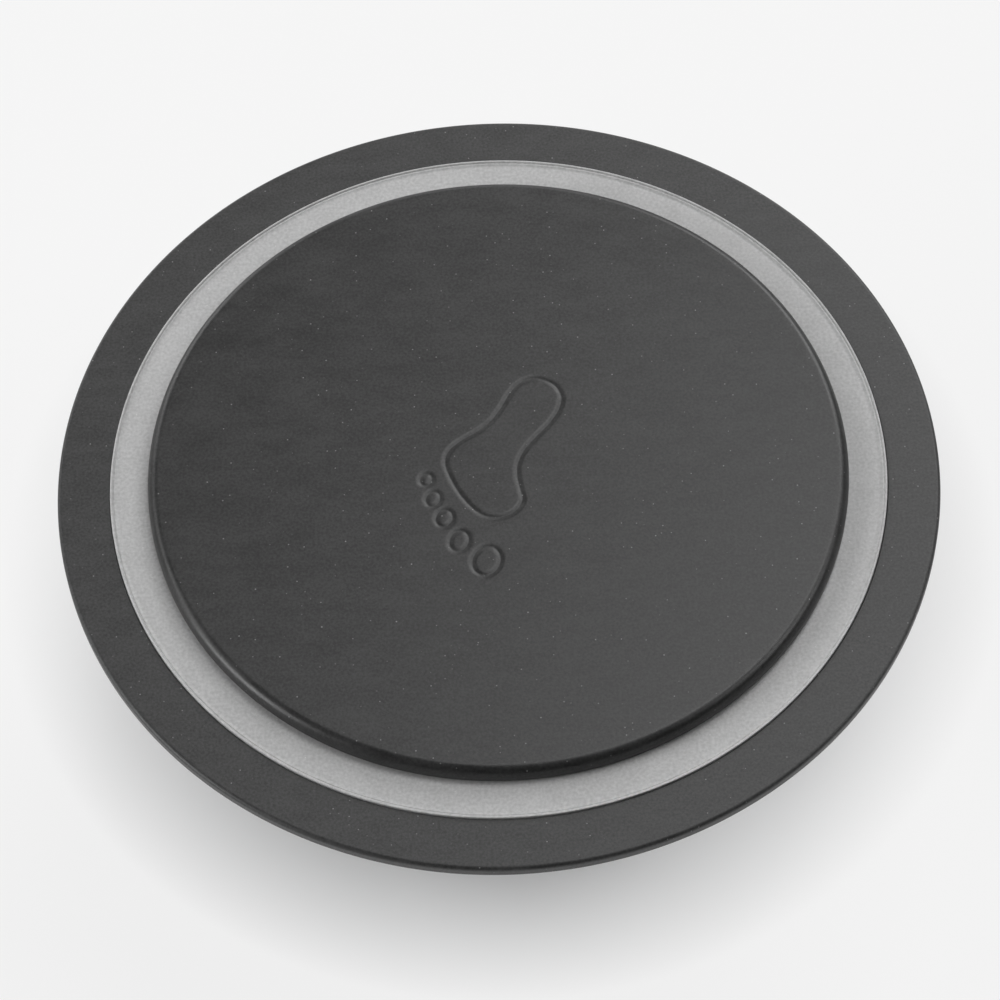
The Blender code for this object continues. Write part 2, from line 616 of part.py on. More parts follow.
def make_strainer_basket():
    """Rim, sloping bowl and hub, with slots from the hub out to the rim."""
    slope = Vector((BASKET_SLOPE_RUN, BASKET_DEPTH))
    side_step = BASKET_WALL * slope.length / slope.y
    floor_shift = BASKET_WALL * slope.x / slope.y
    neck_shift = (RIM_TOP - RIM_UNDERSIDE) * slope.x / slope.y
    profile = [
        (BOWL_MOUTH_RADIUS, RIM_TOP),
        (BASKET_RIM_RADIUS, RIM_TOP),
        (BASKET_RIM_RADIUS, RIM_UNDERSIDE),
        (BOWL_MOUTH_RADIUS + side_step - neck_shift, RIM_UNDERSIDE),
        (BOWL_FLOOR_RADIUS + side_step - floor_shift, BOWL_FLOOR_BOTTOM),
        (HUB_RADIUS, BOWL_FLOOR_BOTTOM),
        (HUB_RADIUS, HUB_BOTTOM),
        (HUB_BORE_RADIUS, HUB_BOTTOM),
        (HUB_BORE_RADIUS, HUB_TOP),
        (HUB_RADIUS, HUB_TOP),
        (HUB_RADIUS, BOWL_FLOOR_TOP),
        (BOWL_FLOOR_RADIUS, BOWL_FLOOR_TOP),
    ]
    basket = turned("strainer_basket", profile, 2 * SLOT_COUNT)
    outline = slot_outline(SLOT_INNER_RADIUS, SLOT_OUTER_RADIUS, SLOT_WIDTH)
    depth = RIM_TOP - BOWL_FLOOR_BOTTOM + 2 * CUT_OVERRUN
    cutter = plate_mesh(outline, depth)
    cutter.transform(Matrix.Rotation(radians(-90), 4, "X"))
    cutter.transform(Matrix.Translation((0, 0, (RIM_TOP + BOWL_FLOOR_BOTTOM) / 2)))
    return combine(basket, around(cutter, SLOT_COUNT), "DIFFERENCE")


def make_basket_gasket():
    """Flat ring in the cup's recess, under the basket's rim."""
    return flat_ring("basket_gasket", FUNNEL_MOUTH_RADIUS, BASKET_RIM_RADIUS,
                     BASKET_GASKET_BOTTOM, BASKET_GASKET_TOP, MIDDLE_STEPS)


def make_core_housing():
    """Barrel with a collar outside, and ribs inside whose slanted ends turn the cam."""
    profile = rounded([
        (STEM_HOLE_RADIUS, HOUSING_TOP, 0),
        (HOUSING_RADIUS, HOUSING_TOP, HOUSING_TOP_CHAMFER),
        (HOUSING_RADIUS, HOUSING_COLLAR_TOP, 0),
        (HOUSING_COLLAR_RADIUS, HOUSING_COLLAR_TOP, 0),
        (HOUSING_COLLAR_RADIUS, HOUSING_COLLAR_BOTTOM, 0),
        (HOUSING_RADIUS, HOUSING_COLLAR_BOTTOM, 0),
        (HOUSING_RADIUS, HOUSING_BOTTOM, 0),
        (HOUSING_BORE_RADIUS, HOUSING_BOTTOM, 0),
        (HOUSING_BORE_RADIUS, HOUSING_CEILING, 0),
        (STEM_HOLE_RADIUS, HOUSING_CEILING, 0),
    ])
    housing = turned("core_housing", profile, CORE_STEPS)
    rib = block_mesh(RIB_INNER_RADIUS, HOUSING_RADIUS - HOUSING_WALL / 2, HOUSING_RIB_WIDTH,
                     RIB_END, HOUSING_CEILING + JOIN_DEPTH, slant_bottom=CAM_SLANT)
    return combine(housing, around(rib, CAM_LUG_COUNT, RIB_START_ANGLE), "UNION")


def make_core_washer():
    """Flat washer between the basket's hub and the housing's collar."""
    return flat_ring("core_washer", HUB_BORE_RADIUS, HOUSING_COLLAR_RADIUS, CORE_WASHER_BOTTOM,
                     CORE_WASHER_TOP, NARROW_STEPS)


def make_core_lock_nut():
    """Hexagon nut under the basket's hub."""
    nut = add_object("core_lock_nut",
                     prism_mesh(NUT_CORNER_RADIUS, NUT_BOTTOM, NUT_TOP, NUT_SIDES))
    bore = prism_mesh(NUT_BORE_RADIUS, NUT_BOTTOM - CUT_OVERRUN, NUT_TOP + CUT_OVERRUN,
                      CORE_STEPS)
    return combine(nut, bore, "DIFFERENCE")


def make_core_bottom_cap():
    """Plug in the barrel's lower end, with a drain hole."""
    profile = [
        (BOTTOM_CAP_DRAIN_RADIUS, PLUG_TOP),
        (BOTTOM_CAP_PLUG_RADIUS, PLUG_TOP),
        (BOTTOM_CAP_PLUG_RADIUS, PLUG_BOTTOM),
        (HOUSING_RADIUS, PLUG_BOTTOM),
        (HOUSING_RADIUS, BOTTOM_CAP_END),
        (BOTTOM_CAP_DRAIN_RADIUS, BOTTOM_CAP_END),
    ]
    return turned("core_bottom_cap", profile, NARROW_STEPS)


def spring_points():
    """Points along the spring's helix, from its lower end to its upper end."""
    low = SPRING_BOTTOM + SPRING_WIRE_RADIUS
    high = SPRING_TOP - SPRING_WIRE_RADIUS
    share = np.linspace(0, 1, SPRING_TURNS * SPRING_POINTS_PER_TURN + 1)
    turn = 2 * pi * SPRING_TURNS * share
    return np.column_stack((SPRING_RADIUS * np.cos(turn), SPRING_RADIUS * np.sin(turn),
                            low + (high - low) * share))


def make_core_spring():
    """Compression spring as one round wire, whose least gap between turns is printed."""
    points = spring_points()
    next_turn = points[SPRING_POINTS_PER_TURN:] - points[:-SPRING_POINTS_PER_TURN]
    gap = np.linalg.norm(next_turn, axis=1).min() - 2 * SPRING_WIRE_RADIUS
    print("core_spring: least gap between turns", round(float(gap), 6), "m")
    curve = bpy.data.curves.new("core_spring", "CURVE")
    curve.dimensions = "3D"
    curve.bevel_depth = SPRING_WIRE_RADIUS
    curve.bevel_resolution = 1
    curve.use_fill_caps = True
    spline = curve.splines.new("POLY")
    spline.points.add(len(points) - 1)
    for point, place in zip(spline.points, points):
        point.co = (*place, 1)
    wire = add_object("core_spring_wire", curve)
    graph = bpy.context.evaluated_depsgraph_get()
    mesh = bpy.data.meshes.new_from_object(wire.evaluated_get(graph))
    bpy.data.objects.remove(wire, do_unlink=True)
    bpy.data.curves.remove(curve)
    return add_object("core_spring", around(mesh, 1))


def make_cam_rotor():
    """Crowned cam with lugs, bored for the plunger's pilot, and a spigot for the spring."""
    profile = [
        (0, ROTOR_BORE_BOTTOM),
        (ROTOR_BORE_RADIUS, ROTOR_BORE_BOTTOM),
        (ROTOR_BORE_RADIUS, ROTOR_TIPS),
        (HEAD_RADIUS, ROTOR_TIPS),
        (HEAD_RADIUS, ROTOR_SHOULDER),
        (ROTOR_SPIGOT_RADIUS, ROTOR_SHOULDER),
        (ROTOR_SPIGOT_RADIUS, ROTOR_BOTTOM),
        (0, ROTOR_BOTTOM),
    ]
    rotor = turned("cam_rotor", profile, CORE_STEPS, closed=False)
    crown(rotor, ROTOR_TIPS, -1)
    lug = block_mesh(HEAD_RADIUS - JOIN_DEPTH, KEY_RADIUS, KEY_WIDTH, ROTOR_SHOULDER, LUG_TOP,
                     slant_top=CAM_SLANT)
    return combine(rotor, around(lug, CAM_LUG_COUNT), "UNION")


def make_plunger():
    """Stud, stem, keyed head with a crown of teeth, and a pilot for the cam."""
    profile = [
        (0, STUD_TOP),
        (STUD_RADIUS, STUD_TOP),
        (STUD_RADIUS, STOP_WASHER_TOP),
        (STEM_RADIUS, STOP_WASHER_TOP),
        (STEM_RADIUS, HEAD_TOP),
        (HEAD_RADIUS, HEAD_TOP),
        (HEAD_RADIUS, PLUNGER_TIPS),
        (PILOT_RADIUS, PLUNGER_TIPS),
        (PILOT_RADIUS, PILOT_BOTTOM),
        (0, PILOT_BOTTOM),
    ]
    plunger = turned("plunger", profile, CORE_STEPS, closed=False)
    crown(plunger, PLUNGER_TIPS, 1)
    key = block_mesh(HEAD_RADIUS - JOIN_DEPTH, KEY_RADIUS, KEY_WIDTH, HEAD_BOTTOM, HEAD_TOP)
    return combine(plunger, around(key, CAM_LUG_COUNT), "UNION")


def make_stop_washer():
    """Soft buffer on the plunger's stem, under the cover's boss."""
    return flat_ring("stop_washer", STOP_WASHER_BORE, STOP_WASHER_BORE + STOP_WASHER_WIDTH,
                     STOP_WASHER_BOTTOM, STOP_WASHER_TOP, NARROW_STEPS)


def make_threaded_insert():
    """Bush moulded into the carrier's boss."""
    return flat_ring("threaded_insert", INSERT_BORE_RADIUS, INSERT_RADIUS, BOSS_BOTTOM,
                     INSERT_TOP, NARROW_STEPS)


def screw_hole_cutters():
    """Round cutters for the clamp screws, up to the carrier's underside."""
    hole = prism_mesh(SCREW_HOLE_RADIUS, CLAMP_UNDERSIDE - CUT_OVERRUN, SCREW_HOLE_TOP,
                      SCREW_STEPS, SCREW_CIRCLE_RADIUS)
    return around(hole, CLAMP_SCREW_COUNT)


def make_cover_carrier():
    """Disc with a locating ring for the gasket, a boss for the plunger, and ribs."""
    profile = [
        (0, CARRIER_TOP),
        (CARRIER_RADIUS, CARRIER_TOP),
        (CARRIER_RADIUS, CARRIER_UNDERSIDE),
        (LOCATING_RING_RADIUS, CARRIER_UNDERSIDE),
        (LOCATING_RING_RADIUS, LOCATING_RING_BOTTOM),
        (LOCATING_RING_BORE, LOCATING_RING_BOTTOM),
        (LOCATING_RING_BORE, CARRIER_UNDERSIDE),
        (BOSS_RADIUS, CARRIER_UNDERSIDE),
        (BOSS_RADIUS, BOSS_BOTTOM),
        (BOSS_BORE_RADIUS, BOSS_BOTTOM),
        (BOSS_BORE_RADIUS, BOSS_BORE_TOP),
        (0, BOSS_BORE_TOP),
    ]
    carrier = turned("cover_carrier", profile, MIDDLE_STEPS, closed=False)
    root = (BOSS_BORE_RADIUS + BOSS_RADIUS) / 2
    tip = LOCATING_RING_BORE + JOIN_DEPTH
    inside = CARRIER_UNDERSIDE + JOIN_DEPTH
    outline = [
        (root, inside),
        (tip, inside),
        (tip, LOCATING_RING_BOTTOM + JOIN_DEPTH),
        (LOCATING_RING_BORE - JOIN_DEPTH, CARRIER_UNDERSIDE - CARRIER_RIB_DEPTH),
        (root, CARRIER_UNDERSIDE - CARRIER_RIB_ROOT_DEPTH),
    ]
    rib = plate_mesh(outline, CARRIER_RIB_THICKNESS)
    combine(carrier, around(rib, CARRIER_RIB_COUNT, pi / CARRIER_RIB_COUNT), "UNION")
    return combine(carrier, screw_hole_cutters(), "DIFFERENCE")


def make_cover_gasket():
    """Flat silicone ring with a thin raised lip round its outer edge."""
    lip_root = GASKET_RADIUS - LIP_WIDTH
    profile = [
        (GASKET_INNER_RADIUS, GASKET_TOP),
        (lip_root - LIP_WIDTH, GASKET_TOP),
        (lip_root, GASKET_TOP - LIP_CREASE_DEPTH),
        (lip_root + LIP_WIDTH / 3, GASKET_TOP + LIP_RISE),
        (GASKET_RADIUS - LIP_WIDTH / 3, GASKET_TOP + LIP_RISE),
        (GASKET_RADIUS, GASKET_TOP),
        (GASKET_RADIUS, GASKET_UNDERSIDE + LIP_CHAMFER),
        (GASKET_RADIUS - LIP_CHAMFER, GASKET_UNDERSIDE),
        (GASKET_INNER_RADIUS, GASKET_UNDERSIDE),
    ]
    return turned("cover_gasket", profile, WIDE_STEPS)


def make_gasket_clamp_ring():
    """Pressed ring that holds the gasket against the carrier, with screw holes."""
    ring = flat_ring("gasket_clamp_ring", LOCATING_RING_BORE, CLAMP_RADIUS, CLAMP_UNDERSIDE,
                     CLAMP_TOP, MIDDLE_STEPS)
    return combine(ring, screw_hole_cutters(), "DIFFERENCE")


def make_clamp_screw(index):
    """One screw of the clamp ring, put in from below."""
    profile = rounded([
        (0, SCREW_SHANK_TOP, 0),
        (SCREW_SHANK_RADIUS, SCREW_SHANK_TOP, 0),
        (SCREW_SHANK_RADIUS, SCREW_HEAD_TOP, 0),
        (SCREW_HEAD_RADIUS, SCREW_HEAD_TOP, 0),
        (SCREW_HEAD_RADIUS, SCREW_HEAD_BOTTOM, SCREW_HEAD_FILLET),
        (0, SCREW_HEAD_BOTTOM, 0),
    ])
    screw = turned("clamp_screw_" + str(index + 1), profile, SCREW_STEPS, closed=False)
    turn = 2 * pi * index / CLAMP_SCREW_COUNT
    screw.location = (SCREW_CIRCLE_RADIUS * cos(turn), SCREW_CIRCLE_RADIUS * sin(turn), 0)
    return screw


def make_cover_cap():
    """Raised disc with a rounded shoulder and a turned-down rim."""
    profile = rounded([
        (0, CAP_TOP, 0),
        (CAP_RADIUS, CAP_TOP, CAP_SHOULDER_FILLET),
        (CAP_RADIUS, CAP_RIM, 0),
        (CAP_RADIUS - CAP_SHELL, CAP_RIM, 0),
        (CAP_RADIUS - CAP_SHELL, CAP_UNDERSIDE, 0),
        (0, CAP_UNDERSIDE, 0),
    ])
    return turned("cover_cap", profile, WIDE_STEPS, closed=False)


def add_frame(name, height, parent=None, parent_height=TAIL_END):
    """An empty on the drain's axis that carries the pieces which move together."""
    frame = bpy.data.objects.new(name, None)
    frame.empty_display_size = STEM_RADIUS
    frame.parent = parent
    frame.location.z = height - parent_height
    PARTS.objects.link(frame)
    return frame


def settle(pieces, frame, height):
    """Give each piece its finish, smooth its round faces and hang it on its joint's frame."""
    for piece, finish in pieces:
        piece.data.materials.clear()
        piece.data.materials.append(make_material(piece.name, finish))
        piece.data.shade_smooth()
        piece.data.set_sharp_from_angle(angle=SMOOTH_ANGLE)
        piece.location.z -= height
        piece.parent = frame


def build():
    """Make every piece and hang it on the frame that it moves with."""
    fixed = add_frame("drain_body_frame", TAIL_END)
    core = add_frame("strainer_core_frame", RECESS_FLOOR, fixed)
    cover = add_frame("cover_frame", SEAT_TOP, core, RECESS_FLOOR)
    cam = add_frame("cam_frame", ROTOR_SHOULDER, cover, SEAT_TOP)
    settle([
        (make_flange_ring(), "black_coating"),
        (make_flange_seal(), "black_rubber"),
        (make_drain_cup(), "grey_abs"),
        (make_tail_seal(), "black_rubber"),
    ], fixed, TAIL_END)
    settle([
        (make_strainer_basket(), "grey_abs"),
        (make_basket_gasket(), "black_rubber"),
        (make_core_housing(), "white_acetal"),
        (make_core_washer(), "black_rubber"),
        (make_core_lock_nut(), "white_acetal"),
        (make_core_bottom_cap(), "white_acetal"),
        (make_core_spring(), "stainless"),
    ], core, RECESS_FLOOR)
    settle([
        (make_cover_cap(), "black_coating"),
        (make_cover_carrier(), "grey_abs"),
        (make_cover_gasket(), "silicone"),
        (make_gasket_clamp_ring(), "stainless"),
        (make_threaded_insert(), "brass"),
        (make_plunger(), "white_acetal"),
        (make_stop_washer(), "black_rubber"),
    ], cover, SEAT_TOP)
    settle([(make_clamp_screw(index), "stainless") for index in range(CLAMP_SCREW_COUNT)],
           cover, SEAT_TOP)
    settle([(make_cam_rotor(), "brass")], cam, ROTOR_SHOULDER)


clear_scene()
PARTS = make_collection("shower_floor_drain")
build()
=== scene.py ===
"""A round shower floor drain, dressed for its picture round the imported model.

Lengths are in metres, angles in radians, and +Z is up, as in the frame. The drain's axis is Z.
Each piece is a surface that stands for its solid of the frame, with the fillets, threads and
mouldings that the solid leaves out. Outer sizes come from the frame's boxes, and the rest from
the named sizes below.
"""

from math import cos, pi, radians, sin, tan

import bmesh
import bpy
import numpy as np
from mathutils import Matrix, Vector
from mathutils.geometry import delaunay_2d_cdt


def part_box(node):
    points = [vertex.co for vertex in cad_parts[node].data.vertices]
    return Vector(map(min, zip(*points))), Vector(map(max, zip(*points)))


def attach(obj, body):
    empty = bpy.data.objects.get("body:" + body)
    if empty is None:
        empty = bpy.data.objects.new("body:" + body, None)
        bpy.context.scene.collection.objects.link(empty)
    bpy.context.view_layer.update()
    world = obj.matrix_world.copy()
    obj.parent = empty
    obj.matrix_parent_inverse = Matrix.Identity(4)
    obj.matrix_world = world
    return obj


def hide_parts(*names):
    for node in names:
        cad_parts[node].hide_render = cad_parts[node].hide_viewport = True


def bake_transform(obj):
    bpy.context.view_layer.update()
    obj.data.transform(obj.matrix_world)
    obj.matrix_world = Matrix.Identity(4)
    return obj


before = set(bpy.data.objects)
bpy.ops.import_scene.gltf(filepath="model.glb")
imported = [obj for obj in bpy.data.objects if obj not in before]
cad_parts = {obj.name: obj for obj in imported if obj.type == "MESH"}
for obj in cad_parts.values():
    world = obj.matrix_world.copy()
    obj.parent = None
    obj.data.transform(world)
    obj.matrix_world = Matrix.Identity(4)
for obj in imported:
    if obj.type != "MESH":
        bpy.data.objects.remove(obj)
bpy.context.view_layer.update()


def reach(node):
    """Outer radius, underside and top of a solid of the frame that is turned about Z."""
    low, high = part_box(node)
    return max(high.x, high.y), low.z, high.z


# How finely surfaces are drawn
WIDE_COLUMNS = 360
MIDDLE_COLUMNS = 240
NARROW_COLUMNS = 128
ARC_STEPS = 6
EDGE_MARGIN_SHARE = 0.15
FILLET_LIMIT_SHARE = 0.42
MERGE_DISTANCE = 0.0000002
SHARP_ANGLE = radians(40)
ROW_DECIMALS = 8
MARKED = 0.999
# How far a web pulls the columns at its side, from its foot to its edge, and the most of half a
# sector that it may take where it is near the axis
WEB_PULL = (0, 0, 0.03, 0.96, 1)
WEB_SECTOR_SHARE = 0.8
# How the rows of a pierced panel crowd towards its hole
PANEL_CROWDING = 1.5

# Fits and edges shared by the pieces
FIT_GAP = 0.0003
MOULD_FILLET = 0.0003
FINE_FILLET = 0.00015

# Flange ring
FLANGE_RADIUS, SKIRT_BOTTOM, FLANGE_TOP = reach("flange_ring")
FLANGE_THICKNESS = 0.0017
FLANGE_UPPER_FILLET = 0.0005
FLANGE_LOWER_FILLET = 0.0004
OPENING_FILLET = 0.0001
SEAT_WIDTH = 0.00255
SEAT_THICKNESS = 0.0014
SKIRT_WALL = 0.0015

# Silicone ring
GASKET_RADIUS, GASKET_UNDERSIDE = reach("cover_gasket")[:2]
GASKET_SIDE_GAP = 0.00035
GASKET_LIP_GAP = 0.00006
GASKET_THICKNESS = 0.0017
GASKET_HIDDEN_WIDTH = 0.0066
LIP_RISE = 0.00030
LIP_SLOPE_WIDTH = 0.00085
LIP_BEAD_WIDTH = 0.00036
LIP_CREASE_WIDTH = 0.00014
LIP_CREASE_DEPTH = 0.00006
LIP_CHAMFER = 0.0006

# Cover cap and the foot engraved in it
CAP_RADIUS, CAP_RIM, CAP_TOP = reach("cover_cap")
CAP_SHELL = 0.0008
SHOULDER_WIDTH = 0.0013
SHOULDER_HEIGHT = 0.0014
SHOULDER_STEPS = 20
CAP_FLAT_MARGIN = 0.0005
GROOVE_BANK_WIDTH = 0.00068
GROOVE_DEPTH = 0.00014
GROOVE_BOTTOM_RADIUS = 0.00006
RELIEF_CELL = 0.00009
RELIEF_MARGIN = 0.0003
SOLE_STEPS_PER_POINT = 40
TOE_STEPS = 200
OUTLINE_STRETCHES = 8
# The sole's outline, points (x, y) from heel to ball and back, and the toes: the x and y of
# each one's middle, its width and its length
SOLE_POINTS = [
    (0.00580, 0.01210), (0.00752, 0.01110), (0.00832, 0.00935), (0.00792, 0.00740),
    (0.00672, 0.00545), (0.00490, 0.00345), (0.00340, 0.00160), (0.00252, -0.00035),
    (0.00238, -0.00225), (0.00268, -0.00415), (0.00288, -0.00560), (0.00245, -0.00668),
    (0.00145, -0.00765), (-0.00010, -0.00812), (-0.00175, -0.00784), (-0.00322, -0.00672),
    (-0.00462, -0.00480), (-0.00568, -0.00270), (-0.00638, -0.00065), (-0.00648, 0.00055),
    (-0.00618, 0.00155), (-0.00552, 0.00245), (-0.00430, 0.00342), (-0.00238, 0.00462),
    (-0.00062, 0.00610), (0.00070, 0.00800), (0.00172, 0.00985), (0.00290, 0.01135),
    (0.00424, 0.01208),
]
TOES = [
    (-0.00186, -0.01427, 0.00338, 0.00412),
    (-0.00510, -0.01130, 0.00232, 0.00296),
    (-0.00684, -0.00792, 0.00200, 0.00242),
    (-0.00814, -0.00507, 0.00170, 0.00214),
    (-0.00893, -0.00222, 0.00144, 0.00170),
]
TOE_LEAN = radians(20)

# Carrier under the cap
CARRIER_RADIUS, BOSS_BOTTOM, CARRIER_TOP = reach("cover_carrier")
LOCATING_RING_WIDTH = 0.0052
BOSS_RADIUS = 0.0075
CARRIER_RIB_COUNT = 8
CARRIER_RIB_THICKNESS = 0.0014
CARRIER_RIB_DEPTH = 0.0024
CARRIER_RIB_ROOT_DEPTH = 0.0060
CARRIER_GAP_COLUMNS = 20

# Clamp ring and its screws
CLAMP_RADIUS, CLAMP_UNDERSIDE, CLAMP_TOP = reach("gasket_clamp_ring")
SCREW_HEAD_BOTTOM, SCREW_TIP = (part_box("clamp_screw_1")[end].z for end in (0, 1))
SCREW_COUNT = 4
SCREW_HEAD_RADIUS = 0.0022
SCREW_HEAD_HEIGHT = 0.0012
SCREW_SHANK_RADIUS = 0.0011
SCREW_THREAD_PITCH = 0.0008
SCREW_THREAD_DEPTH = 0.00018
SCREW_DOME_RISE = SCREW_HEAD_HEIGHT / 3
SCREW_FACE_SHARE = 0.72
SCREW_FACE_ROWS = 30
HOLE_END_ANGLE = pi / 4
CROSS_HALF_WIDTH = 0.00030
CROSS_REACH = 0.00125
CROSS_DEPTH = 0.00065
CROSS_EDGE = 0.00012
CROSS_TAPER = 1 / 3

# Insert and stop washer
INSERT_RADIUS, _, INSERT_TOP = reach("threaded_insert")
INSERT_WALL = 0.0018
STOP_WASHER_TOP = reach("stop_washer")[2]
STOP_WASHER_BORE = 0.0043

# Cup, its webs and the tail's seal
CUP_RADIUS, TAIL_END, CUP_TOP = reach("drain_cup")
CUP_WALL = 0.0020
CUP_CORNER_FILLET = 0.0016
CUP_FLOOR_HIGH = 0.0410
CUP_FLOOR_LOW = 0.0386
FUNNEL_BOTTOM = 0.0230
TAIL_BORE_RADIUS = 0.0190
RECESS_SIDE_CLEARANCE = 0.0006
RECESS_LEDGE_WIDTH = 0.0030
COLLAR_WIDTH = 0.0015
COLLAR_HEIGHT = 0.0014
GUSSET_COUNT = 8
GUSSET_THICKNESS = 0.0018
GUSSET_EDGE_INSET = 0.0040
GUSSET_DROP = 0.0022
GUSSET_FOOT_WIDTH = 0.0012
GUSSET_ROW_SPACING = 0.0006
GUSSET_GAP_COLUMNS = 34
GUSSET_START = pi / GUSSET_COUNT / 5
TAIL_SEAL_RADIUS, TAIL_SEAL_BOTTOM, TAIL_SEAL_TOP = reach("tail_seal")
TAIL_SEAL_WALL = 0.0012
TAIL_SEAL_FINS = 3
TAIL_SEAL_FIN_ROOT = 0.0020
TAIL_SEAL_FIN_TIP = 0.0006

# Basket and the nut
BASKET_RADIUS, HUB_BOTTOM, BASKET_RIM_TOP = reach("strainer_basket")
BASKET_RIM_THICKNESS = 0.0013
BASKET_RIM_WIDTH = 0.0042
BASKET_WALL = 0.0014
BASKET_DEPTH = 0.0084
BASKET_SLOPE_RUN = 0.0096
HUB_WALL = 0.0036
HUB_RISE = 0.0014
SLOT_COUNT = 20
SLOT_WIDTH = 0.0022
SLOT_LAND = 0.0014
SLOT_RIM_LAND = 0.0020
SLOT_END_ANGLE = radians(89)
SLOT_ARC_STEPS = 12
SLOT_SIDE_STEPS = 16
PANEL_ROWS = 7
BASKET_GASKET_BOTTOM = reach("basket_gasket")[1]
NUT_CORNER_RADIUS, NUT_BOTTOM, NUT_TOP = reach("core_lock_nut")
NUT_SIDES = 6
NUT_CHAMFER_SHARE = 0.96
NUT_CHAMFER_ANGLE = pi / 6
NUT_COLUMNS_PER_SIDE = 40

# Housing of the core and its bottom cap
HOUSING_COLLAR_RADIUS, HOUSING_BOTTOM, HOUSING_TOP = reach("core_housing")
HOUSING_RADIUS, BOTTOM_CAP_END, PLUG_TOP = reach("core_bottom_cap")
HOUSING_WALL = 0.0017
HOUSING_TOP_WALL = 0.0022
HOUSING_TOP_CHAMFER = 0.0006
HOUSING_COLLAR_BOTTOM = 0.0330
HOUSING_COLLAR_THICKNESS = 0.0018
HOUSING_RIB_DEPTH = 0.0019
HOUSING_RIB_WIDTH = 0.0050
HOUSING_THREAD_BOTTOM = 0.0150
HOUSING_THREAD_PITCH = 0.0015
HOUSING_THREAD_DEPTH = 0.0004
THREAD_ROWS_PER_PITCH = 8
STEM_CLEARANCE = 0.00035
PLUG_SIDE_GAP = 0.0003
BOTTOM_CAP_FLANGE_THICKNESS = 0.0017
BOTTOM_CAP_DRAIN_RADIUS = 0.0015

# Plunger, cam rotor and spring
KEY_TIP_RADIUS, PILOT_BOTTOM, STUD_TOP = reach("plunger")
ROTOR_BOTTOM, ROTOR_TIPS = (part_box("cam_rotor")[end].z for end in (0, 1))
STEM_RADIUS = 0.0040
STUD_RADIUS = 0.0025
HEAD_RADIUS = 0.0051
PILOT_RADIUS = 0.0024
PILOT_LENGTH = 0.0022
PLUNGER_HEAD_HEIGHT = 0.0030
KEY_WIDTH = 0.0026
KEY_COUNT = 4
CROWN_TEETH = 8
CROWN_DEPTH = 0.0012
CAM_SLANT = 0.0010
ROTOR_BORE_RADIUS = 0.0028
ROTOR_LUG_HEIGHT = 0.0021
ROTOR_SPIGOT_RADIUS = 0.0037
JOIN_DEPTH = 0.0006
SPRING_OUTER_RADIUS, SPRING_BOTTOM, SPRING_TOP = reach("core_spring")
SPRING_WIRE_RADIUS = 0.0005
SPRING_TURNS = 6
SPRING_STEPS_PER_TURN = 48
SPRING_SIDES = 16

# Camera
CAMERA_TARGET = Vector((0.00010, -0.00423, FLANGE_TOP))
CAMERA_DISTANCE = 0.440
CAMERA_ELEVATION = radians(58.03)
CAMERA_ROLL = radians(2.41)
CAMERA_LENS = 127.66
CAMERA_CLIP = 0.01, 20

# Floor. Round a point behind the drain it fades into paper, from the least share to the most
# between the first two radii, and wholly between the far ones. The paper is a painted glow
# that the camera sees over the floor's shading: painted light that lightens the drain's shadow
# away from the drain.
FLOOR_RADIUS = 4.0
FLOOR_DROP = 0.0001
FLOOR_COLOUR = "#f4f4f4"
FADE_CENTRE = (0.0, 0.020, 0.0)
FADE_START, FADE_END = 0.050, 0.0695
# shares of the painted glow over the floor's real shading: painted light that fades the drain's
# shadow out
FADE_LEAST, FADE_MOST = 0.06, 0.87
FAR_START, FAR_END = 0.15, 0.60
PAPER_LEVEL = 0.93

# Lamps: azimuth and elevation in degrees, and brightness as seen from the drain
LAMP_DISTANCE = 1.5
LAMP_SIZE = 0.7
LAMPS = {
    "right_lamp": (90, 43, 3.0),
    "back_right_lamp": (150, 33, 5.2),
    "high_lamp": (150, 68, 3.6),
    "back_lamp": (180, 18, 1.3),
    "back_left_lamp": (215, 18, 2.9),
    "left_lamp": (255, 33, 2.5),
    "low_left_lamp": (287, 18, 7.4),
}

# Surround: levels of sky and ground, as shares of a new world's dark grey, the height where the
# one has passed into the other, and the heights between which the camera sees paper come in. A
# height is the z of a direction.
SKY_LEVEL = 0.12
GROUND_LEVEL = 0.9
HORIZON_FADE = 0.12
PIT_HEIGHT, PAPER_HEIGHT = -0.3, -0.1

# Radii and heights that follow from those above
OPENING_RADIUS = GASKET_RADIUS + GASKET_LIP_GAP
SEAT_INNER_RADIUS = GASKET_RADIUS + GASKET_SIDE_GAP - SEAT_WIDTH
SEAT_TOP = GASKET_UNDERSIDE - FIT_GAP
SEAT_UNDERSIDE = SEAT_TOP - SEAT_THICKNESS
SKIRT_BORE_RADIUS = CUP_RADIUS + FIT_GAP
SKIRT_RADIUS = SKIRT_BORE_RADIUS + SKIRT_WALL
GASKET_TOP = GASKET_UNDERSIDE + GASKET_THICKNESS
GASKET_INNER_RADIUS = CAP_RADIUS - GASKET_HIDDEN_WIDTH
CAP_UNDERSIDE = CAP_TOP - CAP_SHELL
CARRIER_UNDERSIDE = GASKET_TOP + FIT_GAP
LOCATING_RING_RADIUS = GASKET_INNER_RADIUS - FIT_GAP
LOCATING_RING_BORE = LOCATING_RING_RADIUS - LOCATING_RING_WIDTH
LOCATING_RING_BOTTOM = CLAMP_TOP + FIT_GAP
SCREW_CIRCLE_RADIUS = LOCATING_RING_RADIUS - LOCATING_RING_WIDTH / 2
SCREW_HOLE_RADIUS = SCREW_SHANK_RADIUS + FIT_GAP
SCREW_HEAD_TOP = SCREW_HEAD_BOTTOM + SCREW_HEAD_HEIGHT
INSERT_BORE_RADIUS = INSERT_RADIUS - INSERT_WALL
BOSS_BORE_RADIUS = INSERT_RADIUS + FIT_GAP
BOSS_BORE_TOP = INSERT_TOP + FIT_GAP
TAIL_RADIUS = TAIL_BORE_RADIUS + CUP_WALL
CUP_INNER_RADIUS = CUP_RADIUS - CUP_WALL
